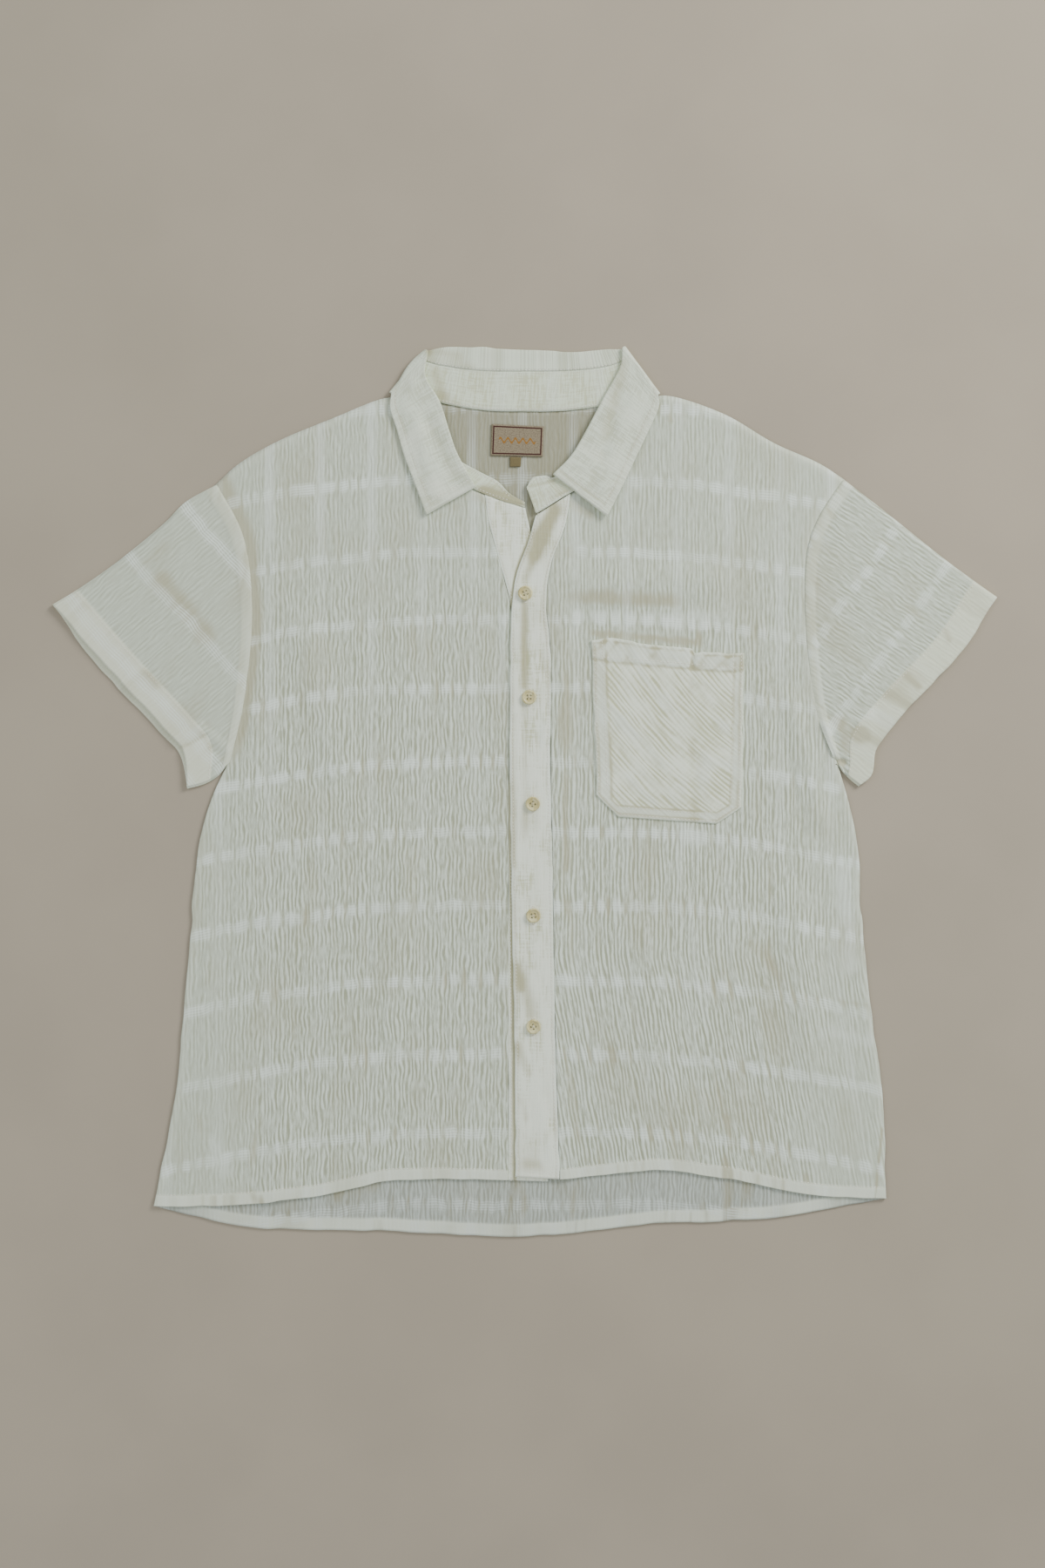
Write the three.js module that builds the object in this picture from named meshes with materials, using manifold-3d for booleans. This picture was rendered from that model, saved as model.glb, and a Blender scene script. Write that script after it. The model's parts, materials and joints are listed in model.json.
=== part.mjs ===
// A short-sleeve shirt with a button front, laid flat on its back, front side up.
// Millimetres. +X is the wearer's left, +Y points to the collar, +Z is up from the surface.
// The origin is the middle of the whole outline, on the surface the shirt lies on.
// Right and left are the wearer's: the right side lies at -X.

import * as THREE from 'three';
import { mergeVertices } from 'three/addons/utils/BufferGeometryUtils.js';
import Module from 'manifold-3d';

const wasm = await Module();
wasm.setup();

// Cloth and the way its layers lie
const CLOTH = 1.0;
const GAP = 0.3;
const HALF = CLOTH / 2;
const HEM_TURN = 8;
const CUFF_TURN = 23;
const POCKET_TURN = 14;
const TURN_RAISE = 0.5;
const TURN_STEP = 1;
const FRONT_REST = CLOTH + GAP;
// Shares of the back's width over which its hem thins out, where the fronts' corners lie on it
const HEM_FADE = { from: 0.04, to: 0.12 };

// Front opening
const BAND_WALL = 1.2;
const PLACKET_REST = FRONT_REST + BAND_WALL + GAP;
const PLACKET_WALL = 1.2;
const PLACKET_SLOPE = 24;

// Sleeve tubes: radius of the fold at the armhole and at the cuff, to the middle of the cloth
const SLEEVE_FOLD = { armhole: 0.8, cuff: 1.1 };
const SLEEVE_FOLD_CELLS = 3;
const SLEEVE_ROWS = 6;
const ARMHOLE_GAP = 0.45;

// Buttons: a bevel above and below a belt, a rim and a dished middle
const BUTTON = {
  radius: 5.8,
  height: 2.2,
  belt: 1,
  lowerBevel: 0.8,
  upperBevel: 0.5,
  rim: 1.3,
  dish: 0.5,
  dishSlope: 0.7,
  hole: 0.85,
  holePitch: 2.6,
};
const BUTTON_SIDES = 20;
const HOLE_SIDES = 6;

// Length of a front from hem to shoulder, for the height of its hem's rows
const PANEL_LENGTH = 590;

// Grid cells along each stretch of a panel's edge
const CELLS = { side: 12, armhole: 9, shoulder: 10, neck: 6, backShoulder: 6, backNeck: 8 };
const STRIP_CELLS = 2;

const COLOURS = {
  cloth: 0xe6e4d6,
  inside: 0xcfccbd,
  trim: 0xebe7d6,
  label: 0xc9b7a0,
  tab: 0xa98f5c,
  button: 0xdccfae,
};

// Outline of the wearer's right half, seen from above
const RIGHT_SIDE = [
  { at: 'hem', x: -298, y: -333.5 },
  { at: 'above hem', x: -284.5, y: -267 },
  { at: 'hip', x: -275, y: -193.5 },
  { at: 'waist', x: -268, y: -109 },
  { at: 'chest', x: -261.5, y: -39.5 },
  { at: 'underarm', x: -251, y: -4.5 },
  { at: 'armpit', x: -238.5, y: 22 },
];
const RIGHT_ARMHOLE = [
  { at: 'armpit', x: -238.5, y: 22 },
  { at: 'low', x: -226.5, y: 76 },
  { at: 'middle', x: -220.5, y: 150 },
  { at: 'high', x: -228, y: 206 },
  { at: 'shoulder tip', x: -248.5, y: 246 },
];
const RIGHT_SHOULDER = [
  { at: 'shoulder tip', x: -248.5, y: 246 },
  { at: 'outer', x: -229.5, y: 263 },
  { at: 'middle', x: -198.5, y: 281 },
  { at: 'inner', x: -153, y: 300 },
  { at: 'under collar', x: -117, y: 314.5 },
  { at: 'neck corner', x: -100, y: 317.5 },
];

// Outline of the wearer's left half
const LEFT_SIDE = [
  { at: 'hem', x: 290, y: -327 },
  { at: 'above hem', x: 289, y: -270 },
  { at: 'hip', x: 285, y: -228.5 },
  { at: 'waist', x: 271, y: -109 },
  { at: 'chest', x: 267, y: -46.5 },
  { at: 'underarm', x: 260, y: -9 },
  { at: 'armpit', x: 251.5, y: 21.5 },
];
const LEFT_ARMHOLE = [
  { at: 'armpit', x: 251.5, y: 21.5 },
  { at: 'low', x: 236.5, y: 62 },
  { at: 'middle', x: 226.5, y: 144.5 },
  { at: 'high', x: 229, y: 197 },
  { at: 'below tip', x: 238.5, y: 222 },
  { at: 'shoulder tip', x: 257, y: 250 },
];
const LEFT_SHOULDER = [
  { at: 'shoulder tip', x: 257, y: 250 },
  { at: 'outer', x: 237, y: 263 },
  { at: 'middle', x: 200.5, y: 279.5 },
  { at: 'inner', x: 160, y: 303 },
  { at: 'under collar', x: 116, y: 317.5 },
  { at: 'neck corner', x: 102, y: 317 },
];

// Neck seam of the back and of each front
const BACK_NECK = [
  { at: 'right corner', x: -100, y: 317.5 },
  { at: 'right', x: -67.5, y: 312 },
  { at: 'middle', x: 1, y: 305.5 },
  { at: 'left', x: 59.5, y: 309 },
  { at: 'left corner', x: 102, y: 317 },
];
const RIGHT_NECK = [
  { at: 'corner', x: -100, y: 317.5 },
  { at: 'side', x: -94, y: 294.5 },
  { at: 'front', x: -68, y: 259.5 },
  { at: 'band', x: -32.5, y: 238.5 },
];
const LEFT_NECK = [
  { at: 'corner', x: 102, y: 317 },
  { at: 'side', x: 96, y: 296.5 },
  { at: 'front', x: 68, y: 260 },
  { at: 'placket', x: 37.3, y: 239 },
];

// Hems: the fronts curve up to the opening, the back hangs lower in the middle
const BACK_HEM = [
  { at: 'right corner', x: -298, y: -333.5 },
  { at: 'right', x: -220, y: -349.5 },
  { at: 'right of middle', x: -100, y: -353 },
  { at: 'middle', x: -2, y: -357.5 },
  { at: 'left of middle', x: 100, y: -347.5 },
  { at: 'left', x: 190, y: -343 },
  { at: 'left corner', x: 290, y: -327 },
];
const RIGHT_HEM = [
  { at: 'corner', x: -298, y: -333.5 },
  { at: 'side', x: -240, y: -332 },
  { at: 'curve', x: -167, y: -325 },
  { at: 'rise', x: -105, y: -312 },
  { at: 'band', x: -13.5, y: -312 },
];
const LEFT_HEM = [
  { at: 'corner', x: 290, y: -327 },
  { at: 'side', x: 235, y: -324 },
  { at: 'curve', x: 180, y: -314 },
  { at: 'rise', x: 112, y: -304.5 },
  { at: 'placket', x: 28.5, y: -311 },
];

// Front opening, a row for each height: the edges of the button band and of the placket
const BAND = [
  { at: 'hem', rightX: -13.2, rightY: -312, leftX: 19, leftY: -313 },
  { at: 'skirt', rightX: -13.2, rightY: -190, leftX: 18.5, leftY: -190 },
  { at: 'waist', rightX: -13.2, rightY: -29, leftX: 18, leftY: -29 },
  { at: 'chest', rightX: -11.2, rightY: 76, leftX: 17.5, leftY: 76 },
  { at: 'first button', rightX: -11, rightY: 146, leftX: 15, leftY: 150 },
  { at: 'opening', rightX: -17, rightY: 172, leftX: 9.5, leftY: 188 },
  { at: 'below neck', rightX: -29.3, rightY: 218, leftX: 3, leftY: 216 },
  { at: 'neck', rightX: -32.2, rightY: 238.5, leftX: 0.5, leftY: 227.5 },
];
const PLACKET = [
  { at: 'hem', rightX: -7.5, rightY: -309, leftX: 28.2, leftY: -311 },
  { at: 'skirt', rightX: -8, rightY: -208, leftX: 24.8, leftY: -208 },
  { at: 'waist', rightX: -10, rightY: -109.5, leftX: 23.2, leftY: -109.5 },
  { at: 'belly', rightX: -12, rightY: 23, leftX: 20.8, leftY: 23 },
  { at: 'chest', rightX: -11.8, rightY: 100, leftX: 20.7, leftY: 112 },
  { at: 'first button', rightX: -9.8, rightY: 155, leftX: 17.2, leftY: 155 },
  { at: 'turn', rightX: -6, rightY: 177, leftX: 22, leftY: 186 },
  { at: 'opening', rightX: 3, rightY: 201, leftX: 31.5, leftY: 210 },
  { at: 'neck', rightX: 8.5, rightY: 221, leftX: 37, leftY: 239 },
];

// Sleeves: shoulder fold, underarm fold and cuff, the cuff's upper and lower layer
const RIGHT_SLEEVE = {
  outward: -1,
  fold: [
    { at: 'shoulder tip', x: -248.5, y: 246 },
    { at: 'cap', x: -273, y: 232 },
    { at: 'upper', x: -289, y: 216 },
    { at: 'middle', x: -328, y: 184 },
    { at: 'lower', x: -358, y: 163 },
    { at: 'cuff', x: -379, y: 150 },
  ],
  underarm: [
    { at: 'armpit', x: -238.5, y: 22 },
    { at: 'curve', x: -246.5, y: 12 },
    { at: 'middle', x: -256.5, y: 6 },
    { at: 'cuff', x: -271, y: 2 },
  ],
  cuffOver: [
    { at: 'fold', x: -379, y: 150 },
    { at: 'upper', x: -338, y: 103 },
    { at: 'lower', x: -290, y: 51.5 },
    { at: 'turn', x: -275, y: 33 },
    { at: 'underarm', x: -271, y: 2 },
  ],
  cuffUnder: [
    { at: 'fold', x: -379, y: 150 },
    { at: 'upper', x: -347, y: 105.5 },
    { at: 'lower', x: -294, y: 49 },
    { at: 'turn', x: -277.5, y: 29.5 },
    { at: 'underarm', x: -271, y: 2 },
  ],
};
const LEFT_SLEEVE = {
  outward: 1,
  fold: [
    { at: 'shoulder tip', x: 257, y: 250 },
    { at: 'cap', x: 293, y: 222 },
    { at: 'middle', x: 331, y: 191.5 },
    { at: 'lower', x: 350, y: 177 },
    { at: 'cuff', x: 379, y: 156 },
  ],
  underarm: [
    { at: 'armpit', x: 251.5, y: 21.5 },
    { at: 'curve', x: 255.5, y: 15.5 },
    { at: 'middle', x: 261, y: 10 },
    { at: 'cuff', x: 268, y: 4 },
  ],
  cuffOver: [
    { at: 'fold', x: 379, y: 156 },
    { at: 'upper', x: 349.5, y: 111 },
    { at: 'lower', x: 308, y: 67 },
    { at: 'turn', x: 283, y: 35 },
    { at: 'corner', x: 278.5, y: 13 },
    { at: 'underarm', x: 268, y: 4 },
  ],
};
LEFT_SLEEVE.cuffUnder = LEFT_SLEEVE.cuffOver;

// Collar, a row for each section from the right front end over the back to the left front end.
// seam: on the neck seam. top: upper edge of the stand. roll: where the fall turns over.
// edge: free edge of the fall. rise: length of the fall from the stand up to the roll.
// lift and fallLift: how much higher the stand and the fall lie on the layers below them.
// sink: how far the stand's upper edge dips.
const COLLAR_RIGHT = [
  { at: 'stand end', seamX: 0, seamY: 228, topX: 0, topY: 232, lift: 0.3, sink: 1 },
  { at: 'stand taper', seamX: -15.5, seamY: 232.5, topX: -12, topY: 239, lift: 0.3, sink: 1.4 },
  { at: 'stand at leaf', seamX: -32, seamY: 238.5, topX: -22, topY: 249, lift: 0.2, sink: 1.8 },
  {
    at: 'leaf point', seamX: -48, seamY: 246.5, topX: -37, topY: 257, rollX: -39, rollY: 244,
    edgeX: -79, edgeY: 221.5, rise: 2.2, lift: 0.2, fallLift: 1.0, sink: 1.8,
  },
  {
    at: 'front', seamX: -67, seamY: 260, topX: -56, topY: 269, rollX: -53.5, rollY: 270,
    edgeX: -90.5, edgeY: 252.5, rise: 2.2, lift: 0, fallLift: 0.2, sink: 1.5,
  },
  {
    at: 'side', seamX: -82, seamY: 275.5, topX: -63.2, topY: 289.7, rollX: -61, rollY: 291,
    edgeX: -97, edgeY: 270, rise: 2.2, lift: 0, fallLift: 0, sink: 1.3,
  },
  {
    at: 'upper side', seamX: -93, seamY: 294.5, topX: -71.4, topY: 310.4, rollX: -68, rollY: 312.5,
    edgeX: -103, edgeY: 291, rise: 2.5, lift: 0, fallLift: 0, sink: 0.9,
  },
  {
    at: 'below corner', seamX: -99, seamY: 310, topX: -83.2, topY: 330, rollX: -79.5, rollY: 333.5,
    edgeX: -108, edgeY: 307, rise: 3.3, lift: 0, fallLift: 0, sink: 0,
  },
  {
    at: 'corner', seamX: -98.5, seamY: 321, topX: -84, topY: 346.5, rollX: -79, rollY: 355.5,
    edgeX: -107, edgeY: 319, rise: 8.1, lift: 0, fallLift: 0, sink: 0,
  },
];
const COLLAR_BACK = [
  {
    at: 'right', seamX: -72, seamY: 311.5, topX: -64.5, topY: 341.5, rollX: -62.5, rollY: 357,
    edgeX: -74, edgeY: 317.5, rise: 14.5, lift: 0, fallLift: 0, sink: 0,
  },
  {
    at: 'right of middle', seamX: -35, seamY: 304.5, topX: -31, topY: 338, rollX: -34, rollY: 356.5,
    edgeX: -36, edgeY: 313, rise: 17.7, lift: 0, fallLift: 0, sink: 0,
  },
  {
    at: 'middle', seamX: 0, seamY: 303.5, topX: 2, topY: 337.5, rollX: 0, rollY: 354.5,
    edgeX: 0, edgeY: 311.5, rise: 16.2, lift: 0, fallLift: 0, sink: 0,
  },
  {
    at: 'left of middle', seamX: 35, seamY: 304.5, topX: 37, topY: 338, rollX: 34, rollY: 353,
    edgeX: 36, edgeY: 312, rise: 14.2, lift: 0, fallLift: 0, sink: 0,
  },
  {
    at: 'left', seamX: 72, seamY: 310, topX: 66, topY: 341, rollX: 62, rollY: 354.5,
    edgeX: 74, edgeY: 317, rise: 12.8, lift: 0, fallLift: 0, sink: 0,
  },
];
const COLLAR_LEFT = [
  {
    at: 'corner', seamX: 101, seamY: 320.5, topX: 84.4, topY: 347.8, rollX: 79.5, rollY: 356.5,
    edgeX: 107, edgeY: 318, rise: 8.8, lift: 0, fallLift: 0, sink: 0,
  },
  {
    at: 'below corner', seamX: 101.5, seamY: 309, topX: 80, topY: 336.9, rollX: 76.5, rollY: 340.5,
    edgeX: 107.5, edgeY: 308, rise: 4.2, lift: 0, fallLift: 0, sink: 0,
  },
  {
    at: 'upper side', seamX: 93, seamY: 291, topX: 66.2, topY: 313.1, rollX: 63, rollY: 315.5,
    edgeX: 99, edgeY: 288.5, rise: 2.5, lift: 0.1, fallLift: 0.1, sink: 0.9,
  },
  {
    at: 'side', seamX: 75, seamY: 267, topX: 51, topY: 286.4, rollX: 48.5, rollY: 288,
    edgeX: 87, edgeY: 263, rise: 2.2, lift: 0.6, fallLift: 0.6, sink: 1.3,
  },
  {
    at: 'front', seamX: 60, seamY: 253.5, topX: 39.2, topY: 267.7, rollX: 37, rollY: 269,
    edgeX: 78, edgeY: 244, rise: 2.2, lift: 1.2, fallLift: 1.2, sink: 1.4,
  },
  {
    at: 'leaf point', seamX: 46, seamY: 244.5, topX: 24.5, topY: 252.5, rollX: 22.5, rollY: 254,
    edgeX: 66, edgeY: 220, rise: 2.2, lift: 1.8, fallLift: 1.8, sink: 1.6,
  },
  { at: 'stand at leaf', seamX: 30, seamY: 235.5, topX: 16, topY: 253, lift: 1.8, sink: 1.6 },
  { at: 'stand round', seamX: 14, seamY: 225.5, topX: 6.5, topY: 251.5, lift: 1.8, sink: 1.6 },
  { at: 'stand end', seamX: 9, seamY: 223, topX: 1.5, topY: 244, lift: 1.8, sink: 1.6 },
];

// How high the collar's layers lie where they turn from the back to the front.
// centre: height of the turn's middle. radius: from there to the middle of each layer.
const COLLAR_TURN = {
  seam: { centre: 2.45, radius: 0.65 },
  inner: { centre: 2.9, radius: 0.8 },
  roll: { centre: 2.9, radius: 1.6 },
  outer: { centre: 2.9, radius: 2.4 },
  edge: { centre: 2.3, radius: 1.8 },
};
const ROLL_RADIUS = 0.8;
const TURN_STEPS = 4;
const ROLL_STEPS = 4;
const RISE_CELLS = 2;
const FALL_CELLS = 4;
const STAND_CELLS = 3;
const ROW_STEPS = 2;

// Chest pocket, its corners
const POCKET = {
  topRight: { x: 53.5, y: 121 },
  topLeft: { x: 176, y: 111.5 },
  sideLeft: { x: 174, y: -13 },
  cutLeft: { x: 154, y: -26 },
  cutRight: { x: 75, y: -20.5 },
  sideRight: { x: 57.5, y: -2.5 },
};
const POCKET_CELLS = { across: 8, down: 8, cut: 1 };

// Label and tab inside the back neck, their corners
const LABEL = [
  { at: 'lower right', x: -27.5, y: 269.5 },
  { at: 'lower left', x: 14.5, y: 268.5 },
  { at: 'upper left', x: 15.5, y: 293 },
  { at: 'upper right', x: -26.5, y: 295 },
];
const TAB = [
  { at: 'lower right', x: -12, y: 260.5 },
  { at: 'lower left', x: -3.2, y: 260.5 },
  { at: 'upper left', x: -2.6, y: 268.4 },
  { at: 'upper right', x: -12, y: 268.6 },
];

const BUTTONS = [
  { name: 'button_1', x: 0.5, y: 159, turn: 20 },
  { name: 'button_2', x: 3.5, y: 75.5, turn: 0 },
  { name: 'button_3', x: 6.5, y: -10, turn: 35 },
  { name: 'button_4', x: 7, y: -99.5, turn: 10 },
  { name: 'button_5', x: 7, y: -188.5, turn: 50 },
];

// Largest soft folds of the fronts: a ridge from one end to the other, with its half width.
// They fade out over the share SIDE_FADE of a front's width, next to the side seam.
const SIDE_FADE = 0.12;
const FOLDS = [
  { at: 'right hem crease', fromX: -189, fromY: -255, toX: -200, toY: -322, spread: 20, height: 1.6 },
  { at: 'across left chest', fromX: 48, fromY: 166, toX: 150, toY: 168, spread: 22, height: 1.5 },
  { at: 'left underarm', fromX: 216, fromY: 70, toX: 236, toY: -20, spread: 17, height: 1.7 },
  { at: 'right chest', fromX: -178, fromY: 130, toX: -150, toY: 20, spread: 24, height: 1.4 },
  { at: 'right waist', fromX: -96, fromY: -60, toX: -110, toY: -190, spread: 22, height: 1.3 },
  { at: 'left waist', fromX: 214, fromY: -90, toX: 232, toY: -220, spread: 24, height: 1.5 },
  { at: 'left skirt', fromX: 96, fromY: -120, toX: 110, toY: -250, spread: 24, height: 1.2 },
];

const smoothstep = THREE.MathUtils.smoothstep;
const point = (x, y, z = 0) => new THREE.Vector3(x, y, z);

// A smooth line through the rows of a table
function smoothLine(rows) {
  return new THREE.CatmullRomCurve3(rows.map(({ x, y }) => point(x, y)), false, 'centripetal');
}

// One edge made of several lines, where each line takes its own number of cells
function edgeOf(...stretches) {
  const total = stretches.reduce((sum, { cells }) => sum + cells, 0);
  return (share) => {
    let place = share * total;
    for (const { line, cells } of stretches.slice(0, -1)) {
      if (place <= cells) return line.getPointAt(place / cells);
      place -= cells;
    }
    const last = stretches[stretches.length - 1];
    return last.line.getPointAt(Math.min(place / last.cells, 1));
  };
}

// Plan of a panel between its four edges: u runs along the hem, v from the hem up
function planBetween(bottom, top, start, end) {
  const corners = [bottom(0), bottom(1), top(0), top(1)];
  return (u, v) => {
    const across = bottom(u).multiplyScalar(1 - v).addScaledVector(top(u), v);
    const along = start(v).multiplyScalar(1 - u).addScaledVector(end(v), u);
    return across.add(along)
      .addScaledVector(corners[0], -(1 - u) * (1 - v))
      .addScaledVector(corners[1], -u * (1 - v))
      .addScaledVector(corners[2], -(1 - u) * v)
      .addScaledVector(corners[3], -u * v);
  };
}

// A closed wall between an inner and an outer sheet of points, open or closed round its first way
function closedWall(acrossCells, alongCells, innerAt, outerAt, ring = false) {
  const columns = ring ? acrossCells : acrossCells + 1;
  const rows = alongCells + 1;
  const positions = [];
  for (const sheet of [innerAt, outerAt]) {
    for (let j = 0; j < rows; j += 1) {
      for (let i = 0; i < columns; i += 1) positions.push(...sheet(i, j).toArray());
    }
  }
  const inner = (i, j) => j * columns + (i % columns);
  const outer = (i, j) => columns * rows + inner(i, j);
  const faces = [];
  const quad = (a, b, c, d) => faces.push(a, b, c, a, c, d);
  for (let j = 0; j < alongCells; j += 1) {
    for (let i = 0; i < acrossCells; i += 1) {
      quad(outer(i, j), outer(i + 1, j), outer(i + 1, j + 1), outer(i, j + 1));
      quad(inner(i, j), inner(i, j + 1), inner(i + 1, j + 1), inner(i + 1, j));
    }
  }
  for (let i = 0; i < acrossCells; i += 1) {
    quad(inner(i, 0), inner(i + 1, 0), outer(i + 1, 0), outer(i, 0));
    quad(inner(i + 1, alongCells), inner(i, alongCells), outer(i, alongCells), outer(i + 1, alongCells));
  }
  for (let j = 0; j < alongCells && !ring; j += 1) {
    quad(inner(0, j + 1), inner(0, j), outer(0, j), outer(0, j + 1));
    quad(inner(acrossCells, j), inner(acrossCells, j + 1), outer(acrossCells, j + 1), outer(acrossCells, j));
  }
  const geometry = new THREE.BufferGeometry();
  geometry.setAttribute('position', new THREE.Float32BufferAttribute(positions, 3));
  geometry.setIndex(faces);
  return facingOut(geometry);
}

// Turns every face over where they all look inward
function facingOut(geometry) {
  const place = geometry.getAttribute('position');
  const index = geometry.getIndex();
  const [a, b, c] = [point(0, 0), point(0, 0), point(0, 0)];
  let volume = 0;
  for (let k = 0; k < index.count; k += 3) {
    a.fromBufferAttribute(place, index.getX(k));
    b.fromBufferAttribute(place, index.getX(k + 1));
    c.fromBufferAttribute(place, index.getX(k + 2));
    volume += a.dot(b.cross(c));
  }
  if (volume < 0) {
    for (let k = 0; k < index.count; k += 3) {
      const second = index.getX(k + 1);
      index.setX(k + 1, index.getX(k + 2));
      index.setX(k + 2, second);
    }
  }
  geometry.computeVertexNormals();
  return geometry;
}

function clothMesh(name, geometry, colour = COLOURS.cloth, roughness = 0.9) {
  const material = new THREE.MeshStandardMaterial({ color: colour, roughness, metalness: 0 });
  const mesh = new THREE.Mesh(geometry, material);
  mesh.name = name;
  return mesh;
}

// Height that the soft folds add at a place on the fronts
function foldHeight(x, y) {
  let height = 0;
  for (const fold of FOLDS) {
    const way = new THREE.Vector2(fold.toX - fold.fromX, fold.toY - fold.fromY);
    const from = new THREE.Vector2(x - fold.fromX, y - fold.fromY);
    const along = THREE.MathUtils.clamp(from.dot(way) / way.lengthSq(), 0, 1);
    const off = from.addScaledVector(way, -along).length();
    height += fold.height * (1 - smoothstep(off, 0, fold.spread));
  }
  return height;
}

// Rows of a body panel: the turned hem, its step, then even rows up to the shoulder
function bodyRows() {
  const total = CELLS.side + CELLS.armhole;
  const rows = [0, HEM_TURN / PANEL_LENGTH, (HEM_TURN + TURN_STEP) / PANEL_LENGTH];
  for (let j = 1; j <= total; j += 1) rows.push(j / total);
  return rows;
}

// A body panel that lies at a height given for each place, thicker along its turned hem
function bodyPanel(name, plan, columns, restAt, turnAt, colour) {
  const rows = bodyRows();
  const place = (i, j) => plan(i / columns, rows[j]);
  const under = (i, j) => {
    const at = place(i, j);
    return at.setZ(restAt(at.x, at.y, i / columns));
  };
  const over = (i, j) => {
    const at = under(i, j);
    return at.setZ(at.z + CLOTH + (j <= 1 ? turnAt(i / columns) : 0));
  };
  return clothMesh(name, closedWall(columns, rows.length - 1, under, over), colour);
}

function back() {
  const plan = planBetween(
    edgeOf({ line: smoothLine(BACK_HEM), cells: 1 }),
    edgeOf(
      { line: smoothLine(RIGHT_SHOULDER), cells: CELLS.backShoulder },
      { line: smoothLine(BACK_NECK), cells: CELLS.backNeck },
      { line: smoothLine([...LEFT_SHOULDER].reverse()), cells: CELLS.backShoulder },
    ),
    edgeOf(
      { line: smoothLine(RIGHT_SIDE), cells: CELLS.side },
      { line: smoothLine(RIGHT_ARMHOLE), cells: CELLS.armhole },
    ),
    edgeOf(
      { line: smoothLine(LEFT_SIDE), cells: CELLS.side },
      { line: smoothLine(LEFT_ARMHOLE), cells: CELLS.armhole },
    ),
  );
  const columns = CELLS.backShoulder * 2 + CELLS.backNeck;
  const turnAt = (u) => TURN_RAISE * smoothstep(Math.min(u, 1 - u), HEM_FADE.from, HEM_FADE.to);
  return bodyPanel('back', plan, columns, () => 0, turnAt, COLOURS.inside);
}

// One front, from its side seam (u = 0) to the opening (u = 1)
function front(name, tables, restAtOpening) {
  const plan = planBetween(
    edgeOf({ line: smoothLine(tables.hem), cells: 1 }),
    edgeOf(
      { line: smoothLine(tables.shoulder), cells: CELLS.shoulder },
      { line: smoothLine(tables.neck), cells: CELLS.neck },
    ),
    edgeOf(
      { line: smoothLine(tables.side), cells: CELLS.side },
      { line: smoothLine(tables.armhole), cells: CELLS.armhole },
    ),
    edgeOf({ line: smoothLine(tables.opening), cells: 1 }),
  );
  const restAt = (x, y, u) => {
    const edgeFade = smoothstep(u, 0, SIDE_FADE);
    const opening = tables.opening[2].x;
    const rise = 1 - smoothstep(Math.abs(x - opening), 0, PLACKET_SLOPE);
    return FRONT_REST + foldHeight(x, y) * edgeFade + (restAtOpening - FRONT_REST) * rise;
  };
  const columns = CELLS.shoulder + CELLS.neck;
  return bodyPanel(name, plan, columns, restAt, () => TURN_RAISE, COLOURS.cloth);
}

// The line of one edge of the band or the placket, moved by a gap
function openingLine(rows, edge, gap) {
  return rows.map((row) => ({ at: row.at, x: row[`${edge}X`] + gap, y: row[`${edge}Y`] }));
}

function frontRight() {
  return front('front_right', {
    side: RIGHT_SIDE,
    armhole: RIGHT_ARMHOLE,
    shoulder: RIGHT_SHOULDER,
    neck: RIGHT_NECK,
    hem: RIGHT_HEM,
    opening: openingLine(BAND, 'right', -GAP),
  }, FRONT_REST);
}

function frontLeft() {
  return front('front_left', {
    side: LEFT_SIDE,
    armhole: LEFT_ARMHOLE,
    shoulder: LEFT_SHOULDER,
    neck: LEFT_NECK,
    hem: LEFT_HEM,
    opening: openingLine(PLACKET, 'left', GAP),
  }, PLACKET_REST);
}

// A strip along the opening, in the same rows as the front that it is sewn to
function strip(name, table, rest, wall) {
  const right = smoothLine(openingLine(table, 'right', 0));
  const left = smoothLine(openingLine(table, 'left', 0));
  const rows = bodyRows();
  const at = (i, j, z) => (
    right.getPointAt(rows[j]).lerp(left.getPointAt(rows[j]), i / STRIP_CELLS).setZ(z)
  );
  const geometry = closedWall(
    STRIP_CELLS,
    rows.length - 1,
    (i, j) => at(i, j, rest),
    (i, j) => at(i, j, rest + wall),
  );
  return clothMesh(name, geometry, COLOURS.trim);
}

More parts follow.
